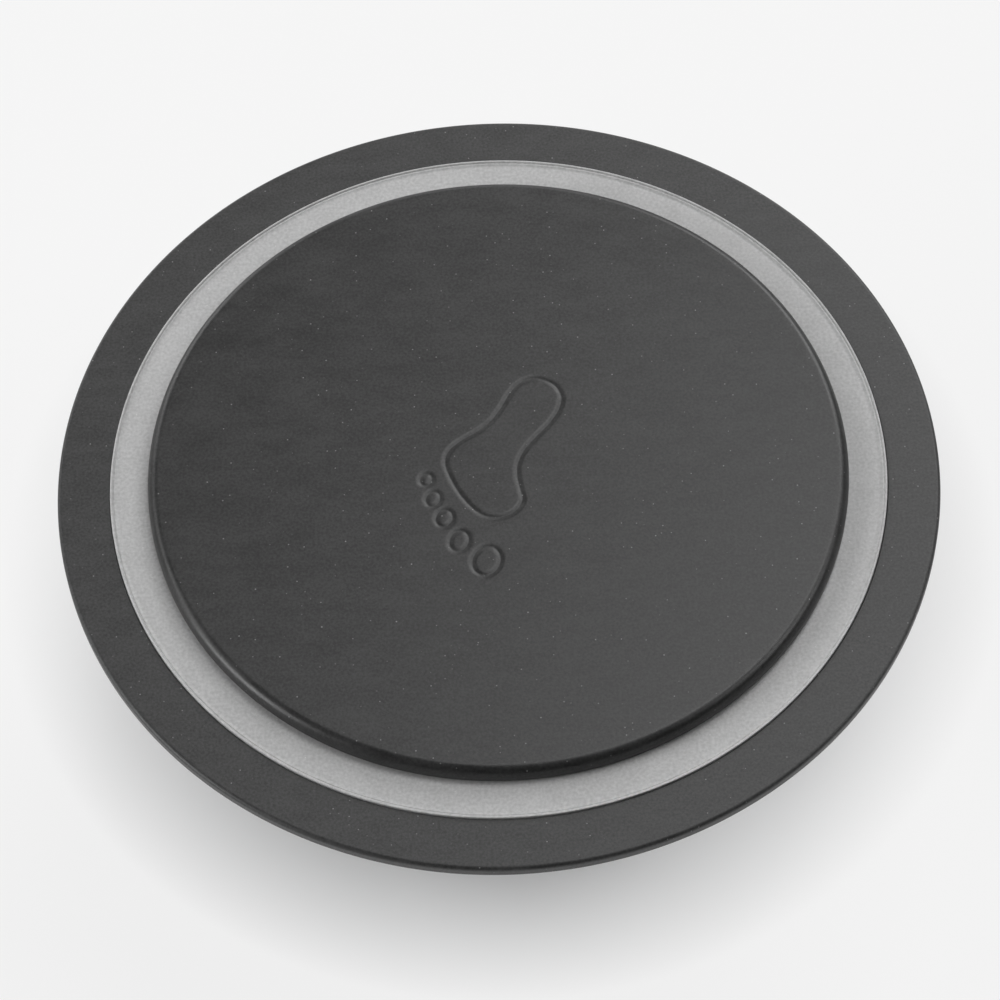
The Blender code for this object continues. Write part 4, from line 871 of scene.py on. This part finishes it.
def make_clamp_ring():
    """Pressed steel ring with four screw holes."""
    steps = MIDDLE_COLUMNS // SCREW_COUNT, SLOT_ARC_STEPS
    inner = LOCATING_RING_BORE + CLAMP_EDGE_WIDTH
    outer = CLAMP_RADIUS - CLAMP_EDGE_WIDTH

    def top(radius):
        return np.full_like(radius, CLAMP_TOP)

    def bottom(radius):
        return np.full_like(radius, CLAMP_UNDERSIDE)

    shells = [
        pierced_panel(SCREW_HOLE_RADIUS, 0, SCREW_CIRCLE_RADIUS, inner, outer, pi / SCREW_COUNT,
                      2 * pi * index / SCREW_COUNT, HOLE_END_ANGLE, steps, top, bottom)
        for index in range(SCREW_COUNT)
    ]
    for near, far in ((outer, CLAMP_RADIUS), (inner, LOCATING_RING_BORE)):
        profile = filleted([(near, CLAMP_TOP, 0), (far, CLAMP_TOP, FINE_FILLET),
                            (far, CLAMP_UNDERSIDE, FINE_FILLET), (near, CLAMP_UNDERSIDE, 0)],
                           closed=False)
        shells.append(turned(profile, MIDDLE_COLUMNS, pi / SCREW_COUNT, close_rows=False))
    add_piece("clamp_ring", "cover", "stainless", shells, "gasket_clamp_ring")


def make_clamp_screws():
    """Four screws with a pan head, a cross recess and a coarse thread, put in from below.

    The recess lifts the head's face where the lesser of |x| and |y| is under the cross's half
    width and the greater is under its reach, with eased edges, and grows shallower outwards.
    """
    face = np.linspace(0, SCREW_HEAD_RADIUS * SCREW_FACE_SHARE, SCREW_FACE_ROWS)[:, None]
    angle = all_round(NARROW_COLUMNS)
    x, y = np.abs(face * np.cos(angle)), np.abs(face * np.sin(angle))
    narrow = np.clip((CROSS_HALF_WIDTH - np.minimum(x, y)) / CROSS_EDGE + 1 / 2, 0, 1)
    short = np.clip((CROSS_REACH - np.maximum(x, y)) / CROSS_EDGE + 1 / 2, 0, 1)
    recess = CROSS_DEPTH * (1 - CROSS_TAPER * np.maximum(x, y) / CROSS_REACH) * narrow * short
    dome = SCREW_DOME_RISE * (face / SCREW_HEAD_RADIUS) ** 2
    head_face = shell(round_grid(face, SCREW_HEAD_BOTTOM + dome + recess, angle), close_rows=False)
    shoulder = float(SCREW_HEAD_BOTTOM + dome[-1, 0])
    profile = filleted([
        (float(face[-1, 0]), shoulder),
        (SCREW_HEAD_RADIUS, shoulder + MOULD_FILLET, MOULD_FILLET),
        (SCREW_HEAD_RADIUS, SCREW_HEAD_TOP, FINE_FILLET),
        (SCREW_SHANK_RADIUS, SCREW_HEAD_TOP, FINE_FILLET, 1),
        (SCREW_SHANK_RADIUS, SCREW_TIP, MOULD_FILLET, 1),
        (0, SCREW_TIP),
    ], closed=False)
    shank = threaded(profile, SCREW_HEAD_TOP, SCREW_TIP, SCREW_THREAD_PITCH, SCREW_THREAD_DEPTH,
                     close_rows=False)
    for index in range(SCREW_COUNT):
        turn = 2 * pi * index / SCREW_COUNT
        place = SCREW_CIRCLE_RADIUS * cos(turn), SCREW_CIRCLE_RADIUS * sin(turn)
        node = "clamp_screw_" + str(index + 1)
        add_piece(node + "_cross_head", "cover", "stainless",
                  [moved(head_face, *place), moved(shank, *place)], node)


def make_carrier():
    """Moulded disc under the cap with a locating ring, a boss and eight ribs between them."""
    profile = filleted([
        (0, CARRIER_TOP),
        (CARRIER_RADIUS, CARRIER_TOP, FINE_FILLET),
        (CARRIER_RADIUS, CARRIER_UNDERSIDE, FINE_FILLET),
        (LOCATING_RING_RADIUS, CARRIER_UNDERSIDE, FINE_FILLET),
        (LOCATING_RING_RADIUS, LOCATING_RING_BOTTOM, FINE_FILLET),
        (LOCATING_RING_BORE, LOCATING_RING_BOTTOM, FINE_FILLET),
        (LOCATING_RING_BORE, CARRIER_UNDERSIDE, MOULD_FILLET, 1),
        (BOSS_RADIUS, CARRIER_UNDERSIDE, MOULD_FILLET, 1),
        (BOSS_RADIUS, BOSS_BOTTOM, MOULD_FILLET),
        (BOSS_BORE_RADIUS, BOSS_BOTTOM, FINE_FILLET),
        (BOSS_BORE_RADIUS, BOSS_BORE_TOP, FINE_FILLET),
        (0, BOSS_BORE_TOP),
    ], closed=False)
    profile = with_more_rows(profile, GUSSET_ROW_SPACING)
    edge_radii = (BOSS_RADIUS, LOCATING_RING_BORE)
    edge_heights = (CARRIER_UNDERSIDE - CARRIER_RIB_ROOT_DEPTH,
                    CARRIER_UNDERSIDE - CARRIER_RIB_DEPTH / 2)
    carrier = webbed(profile, edge_radii, edge_heights, CARRIER_RIB_COUNT, pi / CARRIER_RIB_COUNT,
                     CARRIER_RIB_THICKNESS, CARRIER_GAP_COLUMNS)
    add_piece("carrier", "cover", "basket_abs", [carrier], "cover_carrier")


def make_housing():
    """Barrel of the core: collar, thread for the nut, and four ribs inside with slanted ends."""
    profile = filleted([
        (STEM_HOLE_RADIUS, HOUSING_TOP, FINE_FILLET),
        (HOUSING_RADIUS, HOUSING_TOP, HOUSING_TOP_CHAMFER),
        (HOUSING_RADIUS, HOUSING_COLLAR_TOP, MOULD_FILLET),
        (HOUSING_COLLAR_RADIUS, HOUSING_COLLAR_TOP, MOULD_FILLET),
        (HOUSING_COLLAR_RADIUS, HOUSING_COLLAR_BOTTOM, FINE_FILLET),
        (HOUSING_RADIUS, HOUSING_COLLAR_BOTTOM, FINE_FILLET, 1),
        (HOUSING_RADIUS, HOUSING_BOTTOM, FINE_FILLET, 1),
        (HOUSING_BORE_RADIUS, HOUSING_BOTTOM, FINE_FILLET),
        (HOUSING_BORE_RADIUS, HOUSING_CEILING, MOULD_FILLET),
        (STEM_HOLE_RADIUS, HOUSING_CEILING, FINE_FILLET),
    ])
    barrel = threaded(profile, HOUSING_THREAD_BOTTOM, HOUSING_COLLAR_BOTTOM, HOUSING_THREAD_PITCH,
                      HOUSING_THREAD_DEPTH)
    in_wall = (HOUSING_BORE_RADIUS + HOUSING_RADIUS) / 2
    in_roof = HOUSING_CEILING + JOIN_DEPTH
    outline = [(RIB_INNER_RADIUS, in_roof), (in_wall, in_roof), (in_wall, RIB_END),
               (RIB_INNER_RADIUS, RIB_END)]
    rib = bar(outline, HOUSING_RIB_WIDTH / 2, FINE_FILLET, slant_low=CAM_SLANT)
    add_piece("housing", "strainer_core", "core_acetal",
              [barrel] + repeated(rib, KEY_COUNT, LUG_PITCH / 2), "core_housing")


def make_nut():
    """Hexagon nut with chamfered corners.

    The wall stands at the flats' distance over the cosine of the angle to the nearest flat's
    middle, and a cone of 30 degrees cuts the corners above and below.
    """
    flat = NUT_CORNER_RADIUS * cos(pi / NUT_SIDES)
    angle = all_round(NUT_SIDES * NUT_COLUMNS_PER_SIDE)
    to_middle = (angle + pi / NUT_SIDES) % (2 * pi / NUT_SIDES) - pi / NUT_SIDES
    wall = np.minimum(flat / np.cos(to_middle), NUT_CORNER_RADIUS - FINE_FILLET)
    start = flat * NUT_CHAMFER_SHARE
    drop = (wall - start) * tan(NUT_CHAMFER_ANGLE)
    bore = np.full_like(wall, NUT_BORE_RADIUS)
    eased = bore + MOULD_FILLET
    face = np.full_like(wall, start)
    zero = np.zeros_like(wall)
    radius = np.stack((eased, face, wall, wall, face, eased, bore, bore))
    height = np.stack((NUT_TOP + zero, NUT_TOP + zero, NUT_TOP - drop, NUT_BOTTOM + drop,
                       NUT_BOTTOM + zero, NUT_BOTTOM + zero, NUT_BOTTOM + MOULD_FILLET + zero,
                       NUT_TOP - MOULD_FILLET + zero))
    add_piece("lock_nut", "strainer_core", "core_acetal",
              [shell(round_grid(radius, height, angle))], "core_lock_nut")


def make_bottom_cap():
    """Plug in the barrel's lower end with a drain hole."""
    profile = filleted([
        (BOTTOM_CAP_DRAIN_RADIUS, PLUG_TOP, FINE_FILLET),
        (HOUSING_BORE_RADIUS - PLUG_SIDE_GAP, PLUG_TOP, MOULD_FILLET),
        (HOUSING_BORE_RADIUS - PLUG_SIDE_GAP, PLUG_BOTTOM, FINE_FILLET),
        (HOUSING_RADIUS, PLUG_BOTTOM, FINE_FILLET),
        (HOUSING_RADIUS, BOTTOM_CAP_END, BOTTOM_CAP_FILLET),
        (BOTTOM_CAP_DRAIN_RADIUS, BOTTOM_CAP_END, FINE_FILLET),
    ])
    add_piece("bottom_cap", "strainer_core", "core_acetal", [turned(profile, NARROW_COLUMNS)],
              "core_bottom_cap")


def make_spring():
    """Round wire wound as a helix: the centreline is (r cos a, r sin a, z) with z in step with
    a, and the wire's round section stands square to it, with its ends closed. It hangs on no
    body."""
    radius = SPRING_OUTER_RADIUS - SPRING_WIRE_RADIUS
    rise = SPRING_TOP - SPRING_BOTTOM - 2 * SPRING_WIRE_RADIUS
    share = np.linspace(0, 1, SPRING_TURNS * SPRING_STEPS_PER_TURN + 1)
    share = np.concatenate(((0,), share, (1,)))[:, None]
    angle = 2 * pi * SPRING_TURNS * share
    outward = np.concatenate((np.cos(angle), np.sin(angle), 0 * angle), axis=1)
    slope = rise / (2 * pi * SPRING_TURNS * radius)
    along = unit(np.concatenate((-np.sin(angle), np.cos(angle), slope + 0 * angle), axis=1))
    across = np.cross(along, outward)
    line = outward * radius + (0, 0, 1) * (SPRING_BOTTOM + SPRING_WIRE_RADIUS + rise * share)
    size = np.full((len(share), 1, 1), SPRING_WIRE_RADIUS)
    size[[0, -1]] = 0
    section = all_round(SPRING_SIDES)[:, None]
    ring = np.cos(section) * outward[:, None] + np.sin(section) * across[:, None]
    piece = add_piece("spring_coil", None, "stainless",
                      [shell(line[:, None] + size * ring, close_rows=False)], "core_spring")
    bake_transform(piece)


def toothed(profile, direction):
    """A turned shell whose marked rows rise and fall as a round of pointed teeth: the height
    changes by the depth of the crown times the distance from a tooth's middle, in half teeth."""
    angle = all_round(NARROW_COLUMNS)
    tooth = np.abs((angle * CROWN_TEETH / (2 * pi) % 1) * 2 - 1)
    radius, height, mark = (profile[:, column, None] for column in range(3))
    return shell(round_grid(radius, height + mark * direction * CROWN_DEPTH * tooth, angle),
                 close_rows=False)


def key_bar(bottom, top, slant_high=0):
    """A key or lug on the core's moving parts."""
    root = HEAD_RADIUS - JOIN_DEPTH
    tip = (KEY_TIP_RADIUS**2 - (KEY_WIDTH / 2) ** 2) ** 0.5
    outline = [(root, top), (tip, top), (tip, bottom), (root, bottom)]
    return bar(outline, KEY_WIDTH / 2, FINE_FILLET, slant_high=slant_high)


def make_plunger():
    """Stud, stem, keyed head with a crown of teeth, and a pilot for the cam."""
    profile = filleted([
        (0, STUD_TOP),
        (STUD_RADIUS, STUD_TOP, MOULD_FILLET),
        (STUD_RADIUS, STOP_WASHER_TOP, FINE_FILLET),
        (STEM_RADIUS, STOP_WASHER_TOP, FINE_FILLET),
        (STEM_RADIUS, HEAD_TOP, MOULD_FILLET),
        (HEAD_RADIUS, HEAD_TOP, FINE_FILLET),
        (HEAD_RADIUS, PLUNGER_TIPS, FINE_FILLET, 1),
        (PILOT_RADIUS, PLUNGER_TIPS, FINE_FILLET, 1),
        (PILOT_RADIUS, PILOT_BOTTOM, MOULD_FILLET),
        (0, PILOT_BOTTOM),
    ], closed=False)
    keys = repeated(key_bar(HEAD_BOTTOM, HEAD_TOP), KEY_COUNT)
    add_piece("plunger_stem", "cover", "core_acetal", [toothed(profile, 1)] + keys, "plunger")


def make_rotor():
    """Brass cam with a crown of teeth, four slanted lugs and a spigot for the spring."""
    profile = filleted([
        (0, ROTOR_BORE_BOTTOM),
        (ROTOR_BORE_RADIUS, ROTOR_BORE_BOTTOM, FINE_FILLET),
        (ROTOR_BORE_RADIUS, ROTOR_TIPS, FINE_FILLET, 1),
        (HEAD_RADIUS, ROTOR_TIPS, FINE_FILLET, 1),
        (HEAD_RADIUS, ROTOR_SHOULDER, FINE_FILLET),
        (ROTOR_SPIGOT_RADIUS, ROTOR_SHOULDER, FINE_FILLET),
        (ROTOR_SPIGOT_RADIUS, ROTOR_BOTTOM, MOULD_FILLET),
        (0, ROTOR_BOTTOM),
    ], closed=False)
    lugs = repeated(key_bar(ROTOR_SHOULDER, LUG_TOP, slant_high=-CAM_SLANT), KEY_COUNT)
    add_piece("rotor", "cam", "brass", [toothed(profile, -1)] + lugs, "cam_rotor")


def linear(hex_colour):
    """An sRGB hex colour as the linear colour that a socket takes."""
    values = np.array([int(hex_colour[start:start + 2], 16) for start in (1, 3, 5)]) / 255
    values = np.where(values <= 0.04045, values / 12.92, ((values + 0.055) / 1.055) ** 2.4)
    return (*values.tolist(), 1.0)


def fill(node, inputs):
    """Give a node's inputs their values. A value may also be a socket to link, or a node, whose
    first output in use is meant."""
    for name, value in inputs.items():
        if isinstance(value, bpy.types.Node):
            value = next(output for output in value.outputs if output.enabled)
        if isinstance(value, bpy.types.NodeSocket):
            node.id_data.links.new(value, node.inputs[name])
        else:
            node.inputs[name].default_value = value


def add_node(tree, kind, inputs=(), **settings):
    """Add a node with its own settings and its inputs."""
    added = tree.nodes.new(kind)
    for name, value in settings.items():
        setattr(added, name, value)
    fill(added, dict(inputs))
    return added


def start_material(name, values):
    """A material with its Principled shader's own sockets set, and the object coordinates."""
    material = bpy.data.materials.new(name)
    material.use_nodes = True
    tree = material.node_tree
    shader = tree.nodes["Principled BSDF"]
    fill(shader, values)
    place = add_node(tree, "ShaderNodeTexCoord").outputs["Object"]
    return material, tree, shader, place


def dusted(tree, place, film, colour, spacing, size, share):
    """A colour with specks of dust on it: one in each cell of a Voronoi pattern, but only in
    some share of the cells, and each with its own strength. The specks are drawn coarser than
    real dust, so that they show."""
    cells = add_node(tree, "ShaderNodeTexVoronoi", {"Vector": place, "Scale": 1 / spacing})
    chance = add_node(tree, "ShaderNodeSeparateColor", {"Color": cells.outputs["Color"]})
    strength = add_node(tree, "ShaderNodeMapRange", {"Value": chance, "From Min": 1 - share})
    spot = add_node(tree, "ShaderNodeMapRange", {
        "Value": cells.outputs["Distance"], "From Min": size / spacing / 4,
        "From Max": size / spacing / 2, "To Min": 1.0, "To Max": 0.0})
    speck = add_node(tree, "ShaderNodeMath", {0: spot, 1: strength}, operation="MULTIPLY")
    return add_node(tree, "ShaderNodeMix", {"Factor": speck, "A": film, "B": linear(colour)},
                    data_type="RGBA")


def black_coating(name, dark, light, roughness):
    """Electrophoretic coating, cured on a die-cast zinc alloy: a thin matt black film that is
    even but for a fine grain like orange peel, a slow change of gloss, faint smears where it
    was wiped and a few specks of dust."""
    peel_size, peel_height = 0.00034, 0.00002
    smear_size, smear_stretch, smear_direction = 0.0050, 2.5, radians(-50)
    smear_share = 0.3
    gloss_swing = 0.03
    material, tree, shader, place = start_material(name, {"IOR": 1.5})
    peel = add_node(tree, "ShaderNodeTexNoise", {"Vector": place, "Scale": 1 / peel_size,
                                                 "Detail": 2.0, "Roughness": 0.6})
    smear_place = add_node(tree, "ShaderNodeMapping", {
        "Vector": place, "Rotation": (0, 0, smear_direction), "Scale": (1.0, smear_stretch, 1.0)})
    smear = add_node(tree, "ShaderNodeTexNoise", {"Vector": smear_place, "Scale": 1 / smear_size,
                                                  "Detail": 4.0})
    both = add_node(tree, "ShaderNodeMix", {"Factor": smear_share, "A": peel, "B": smear})
    tone = add_node(tree, "ShaderNodeMapRange", {"Value": both, "From Min": 0.36, "From Max": 0.64})
    film = add_node(tree, "ShaderNodeMix", {"Factor": tone, "A": linear(dark), "B": linear(light)},
                    data_type="RGBA")
    colour = dusted(tree, place, film, "#8a8a8a", spacing=0.0010, size=0.00022, share=0.7)
    gloss = add_node(tree, "ShaderNodeMapRange", {
        "Value": smear, "From Min": 0.3, "From Max": 0.7, "To Min": roughness - gloss_swing,
        "To Max": roughness + gloss_swing})
    bump = add_node(tree, "ShaderNodeBump", {"Height": peel, "Strength": 0.5,
                                             "Distance": peel_height})
    fill(shader, {"Base Color": colour, "Roughness": gloss, "Normal": bump})
    return material


def silicone():
    """Grey white silicone, compression moulded: slightly see-through, satin, with a little
    cloudiness, a fine grain and the dust that clings to it."""
    cloud_size = 0.0030
    grain_size, grain_height = 0.0004, 0.00002
    grain_share = 0.75
    scatter_length = 0.0006
    material, tree, shader, place = start_material("moulded_silicone", {
        "IOR": 1.42, "Roughness": 0.42, "Subsurface Weight": 0.20,
        "Subsurface Radius": (scatter_length,) * 3, "Subsurface Scale": 1.0})
    cloud = add_node(tree, "ShaderNodeTexNoise", {"Vector": place, "Scale": 1 / cloud_size,
                                                  "Detail": 5.0})
    grain = add_node(tree, "ShaderNodeTexNoise", {"Vector": place, "Scale": 1 / grain_size,
                                                  "Detail": 2.0})
    both = add_node(tree, "ShaderNodeMix", {"Factor": grain_share, "A": cloud, "B": grain})
    tone = add_node(tree, "ShaderNodeMapRange", {"Value": both, "From Min": 0.35, "From Max": 0.65})
    body = add_node(tree, "ShaderNodeMix", {"Factor": tone, "A": linear("#b3b3b3"),
                                            "B": linear("#c7c7c7")}, data_type="RGBA")
    colour = dusted(tree, place, body, "#e4e4e2", spacing=0.0011, size=0.00018, share=0.6)
    bump = add_node(tree, "ShaderNodeBump", {"Height": grain, "Strength": 0.5,
                                             "Distance": grain_height})
    fill(shader, {"Base Color": colour, "Normal": bump})
    return material


def rubber():
    """Black nitrile rubber, compression moulded: matt, with a fine grain and a grey bloom."""
    grain_size, grain_height = 0.00025, 0.00003
    bloom_size = 0.004
    material, tree, shader, place = start_material("moulded_rubber", {"IOR": 1.52})
    grain = add_node(tree, "ShaderNodeTexNoise", {"Vector": place, "Scale": 1 / grain_size,
                                                  "Detail": 2.0})
    bloom = add_node(tree, "ShaderNodeTexNoise", {"Vector": place, "Scale": 1 / bloom_size,
                                                  "Detail": 4.0})
    tone = add_node(tree, "ShaderNodeMix", {"Factor": bloom, "A": linear("#1b1b1b"),
                                            "B": linear("#2a2a2a")}, data_type="RGBA")
    gloss = add_node(tree, "ShaderNodeMapRange", {"Value": bloom, "To Min": 0.55, "To Max": 0.75})
    bump = add_node(tree, "ShaderNodeBump", {"Height": grain, "Strength": 0.4,
                                             "Distance": grain_height})
    fill(shader, {"Base Color": tone, "Roughness": gloss, "Normal": bump})
    return material


def moulded_plastic(name, dark, light, roughness, subsurface):
    """Injection moulded plastic from a spark eroded mould: an even fine grain in the surface
    and very faint flow marks in its colour."""
    grain_size, grain_height = 0.0003, 0.00003
    flow_size = 0.012
    gloss_swing = 0.06
    scatter_length = 0.001
    material, tree, shader, place = start_material(name, {
        "IOR": 1.53, "Subsurface Weight": subsurface, "Subsurface Radius": (scatter_length,) * 3,
        "Subsurface Scale": 1.0})
    grain = add_node(tree, "ShaderNodeTexNoise", {"Vector": place, "Scale": 1 / grain_size,
                                                  "Detail": 3.0, "Roughness": 0.6})
    flow = add_node(tree, "ShaderNodeTexNoise", {"Vector": place, "Scale": 1 / flow_size,
                                                 "Detail": 3.0, "Distortion": 1.0})
    tone = add_node(tree, "ShaderNodeMix", {"Factor": flow, "A": linear(dark), "B": linear(light)},
                    data_type="RGBA")
    gloss = add_node(tree, "ShaderNodeMapRange", {
        "Value": grain, "To Min": roughness - gloss_swing, "To Max": roughness + gloss_swing})
    bump = add_node(tree, "ShaderNodeBump", {"Height": grain, "Strength": 0.3,
                                             "Distance": grain_height})
    fill(shader, {"Base Color": tone, "Roughness": gloss, "Normal": bump})
    return material


def worked_metal(name, dark, light, roughness, line_spacing):
    """Bright metal with fine lines round its axis, left by rolling, drawing or the lathe. The
    lines are a noise over the distance from the axis and the height."""
    line_height = 0.00002
    cloud_size = 0.006
    gloss_fall, gloss_rise = 0.08, 0.1
    material, tree, shader, place = start_material(name, {"Metallic": 1.0})
    apart = add_node(tree, "ShaderNodeSeparateXYZ", {"Vector": place})
    level = add_node(tree, "ShaderNodeVectorMath", {0: place, 1: (1.0, 1.0, 0.0)},
                     operation="MULTIPLY")
    distance = add_node(tree, "ShaderNodeVectorMath", {0: level}, operation="LENGTH")
    section = add_node(tree, "ShaderNodeCombineXYZ", {"X": distance, "Y": apart.outputs["Z"]})
    lines = add_node(tree, "ShaderNodeTexNoise", {"Vector": section, "Scale": 1 / line_spacing,
                                                  "Detail": 2.0})
    cloud = add_node(tree, "ShaderNodeTexNoise", {"Vector": place, "Scale": 1 / cloud_size,
                                                  "Detail": 3.0})
    tone = add_node(tree, "ShaderNodeMix", {"Factor": cloud, "A": linear(dark), "B": linear(light)},
                    data_type="RGBA")
    gloss = add_node(tree, "ShaderNodeMapRange", {
        "Value": lines, "To Min": roughness - gloss_fall, "To Max": roughness + gloss_rise})
    bump = add_node(tree, "ShaderNodeBump", {"Height": lines, "Strength": 0.3,
                                             "Distance": line_height})
    fill(shader, {"Base Color": tone, "Roughness": gloss, "Normal": bump})
    return material


def make_camera():
    """The camera looks down at the flange from the front, turned a little about its own axis."""
    back = Vector((0, -cos(CAMERA_ELEVATION), sin(CAMERA_ELEVATION)))
    across = Vector((1, 0, 0))
    up = back.cross(across)
    right = across * cos(CAMERA_ROLL) - up * sin(CAMERA_ROLL)
    upright = across * sin(CAMERA_ROLL) + up * cos(CAMERA_ROLL)
    data = bpy.data.cameras.new("camera")
    data.lens = CAMERA_LENS
    data.clip_start, data.clip_end = CAMERA_CLIP
    camera = bpy.data.objects.new("camera", data)
    place = Matrix((right, upright, back)).transposed().to_4x4()
    place.translation = CAMERA_TARGET + back * CAMERA_DISTANCE
    camera.matrix_world = place
    bpy.context.scene.collection.objects.link(camera)
    bpy.context.scene.camera = camera


def make_floor():
    """A plain pale floor. What looks at it, but not what it lights, sees it fade into a painted
    glow of pale paper with the distance from a point behind the drain: painted light that lightens
    the drain's shadow away from the drain, so that the shadow stays near it. It is clear from
    below, and has a hole under the tail, which the drain hides, so that light also comes up the
    tail."""
    material, tree, shader, place = start_material("pale_floor", {
        "Base Color": linear(FLOOR_COLOUR), "Roughness": 0.9, "Specular IOR Level": 0.0})
    level = add_node(tree, "ShaderNodeVectorMath", {0: place, 1: (1.0, 1.0, 0.0)},
                     operation="MULTIPLY")
    distance = add_node(tree, "ShaderNodeVectorMath", {0: level, 1: FADE_CENTRE},
                        operation="DISTANCE")
    # painted light: the glow's share grows with the distance from that point and lightens the
    # floor's real shadow
    near = add_node(tree, "ShaderNodeMapRange", {
        "Value": distance, "From Min": FADE_START, "From Max": FADE_END,
        "To Min": FADE_LEAST, "To Max": FADE_MOST})
    far = add_node(tree, "ShaderNodeMapRange", {"Value": distance, "From Min": FAR_START,
                                                "From Max": FAR_END})
    fade = add_node(tree, "ShaderNodeMath", {0: near, 1: far}, operation="MAXIMUM")
    ray = add_node(tree, "ShaderNodeLightPath")
    looks = add_node(tree, "ShaderNodeMath", {
        0: ray.outputs["Is Camera Ray"], 1: ray.outputs["Is Glossy Ray"]}, operation="ADD")
    looks = add_node(tree, "ShaderNodeMath", {0: looks, 1: ray.outputs["Is Transmission Ray"]},
                     operation="ADD", use_clamp=True)
    share = add_node(tree, "ShaderNodeMath", {0: looks, 1: fade}, operation="MULTIPLY")
    # the painted glow that stands in for the floor's shading where its share is high
    paper = add_node(tree, "ShaderNodeEmission", {"Strength": PAPER_LEVEL})
    above = add_node(tree, "ShaderNodeMixShader", {0: share, 1: shader, 2: paper})
    under = add_node(tree, "ShaderNodeNewGeometry").outputs["Backfacing"]
    clear = add_node(tree, "ShaderNodeBsdfTransparent")
    mix = add_node(tree, "ShaderNodeMixShader", {0: under, 1: above, 2: clear})
    fill(tree.nodes["Material Output"], {"Surface": mix})
    radius = np.array((TAIL_BORE_RADIUS, FLOOR_RADIUS))[:, None]
    grid = round_grid(radius, TAIL_END - FLOOR_DROP, all_round(NARROW_COLUMNS))
    points, faces = shell(grid, close_rows=False)
    mesh = bpy.data.meshes.new("floor")
    mesh.from_pydata(points.tolist(), [], faces.tolist())
    mesh.materials.append(material)
    floor = bpy.data.objects.new("floor", mesh)
    bpy.context.scene.collection.objects.link(floor)


def add_softbox(name, azimuth, elevation, strength):
    """A soft square lamp that faces the drain and isn't seen by the camera. Azimuth 0 is at -Y,
    where the camera is, and 90 degrees at +X. The strength is the lamp's brightness as seen
    from the drain."""
    light = bpy.data.lights.new(name, "AREA")
    light.size = LAMP_SIZE
    light.energy = strength * pi * LAMP_SIZE**2
    lamp = bpy.data.objects.new(name, light)
    back = Vector((sin(azimuth) * cos(elevation), -cos(azimuth) * cos(elevation), sin(elevation)))
    lamp.location = back * LAMP_DISTANCE + Vector((0, 0, FLANGE_TOP))
    lamp.rotation_mode = "QUATERNION"
    lamp.rotation_quaternion = back.to_track_quat("Z", "Y")
    lamp.visible_camera = False
    bpy.context.scene.collection.objects.link(lamp)


def make_world():
    """A dim sky over a brighter ground, with a short passage between them at the horizon. The
    camera sees the floor's pale paper in place of both, but for what it sees down the tail."""
    world = bpy.data.worlds.new("surround")
    world.use_nodes = True
    tree = world.node_tree
    place = add_node(tree, "ShaderNodeTexCoord").outputs["Generated"]
    height = add_node(tree, "ShaderNodeSeparateXYZ", {"Vector": place}).outputs["Z"]
    level = add_node(tree, "ShaderNodeMapRange", {
        "Value": height, "From Max": HORIZON_FADE, "To Min": GROUND_LEVEL, "To Max": SKY_LEVEL})
    surround = tree.nodes["Background"]
    fill(surround, {"Strength": level})
    paper = add_node(tree, "ShaderNodeBackground", {"Color": linear("#ffffff"),
                                                    "Strength": PAPER_LEVEL})
    ray = add_node(tree, "ShaderNodeLightPath")
    share = add_node(tree, "ShaderNodeMapRange", {
        "Value": height, "From Min": PIT_HEIGHT, "From Max": PAPER_HEIGHT,
        "To Max": ray.outputs["Is Camera Ray"]})
    seen = add_node(tree, "ShaderNodeMixShader", {0: share, 1: surround, 2: paper})
    fill(tree.nodes["World Output"], {"Surface": seen})
    bpy.context.scene.world = world


def make_lights():
    """Soft lamps all round the drain but for its front, most of them behind it."""
    for name, (azimuth, elevation, strength) in LAMPS.items():
        add_softbox(name, radians(azimuth), radians(elevation), strength)


FINISHES = {
    "flange_coating": black_coating("flange_black_coating", "#292929", "#404040", roughness=0.46),
    "cover_coating": black_coating("cover_black_coating", "#202020", "#363636", roughness=0.38),
    "silicone": silicone(),
    "seal_rubber": rubber(),
    "cup_abs": moulded_plastic("moulded_abs_cup", "#7d8083", "#85888b",
                               roughness=0.42, subsurface=0.0),
    "basket_abs": moulded_plastic("moulded_abs_basket", "#7d8083", "#85888b",
                                  roughness=0.42, subsurface=0.0),
    "core_acetal": moulded_plastic("moulded_acetal", "#dcdcd8", "#e3e3df",
                                   roughness=0.34, subsurface=0.15),
    "stainless": worked_metal("rolled_stainless", "#c4c2be", "#cfcdc9",
                              roughness=0.28, line_spacing=0.00012),
    "brass": worked_metal("turned_brass", "#dcbc82", "#e4c892",
                          roughness=0.28, line_spacing=0.00010),
}

make_flange()
make_cover_gasket()
make_cover_cap()
make_rings()
make_cup()
make_tail_seal()
make_basket()
make_clamp_ring()
make_clamp_screws()
make_carrier()
make_housing()
make_nut()
make_bottom_cap()
make_plunger()
make_rotor()
make_spring()
make_camera()
make_floor()
make_world()
make_lights()

bpy.context.scene.view_settings.view_transform = "Standard"
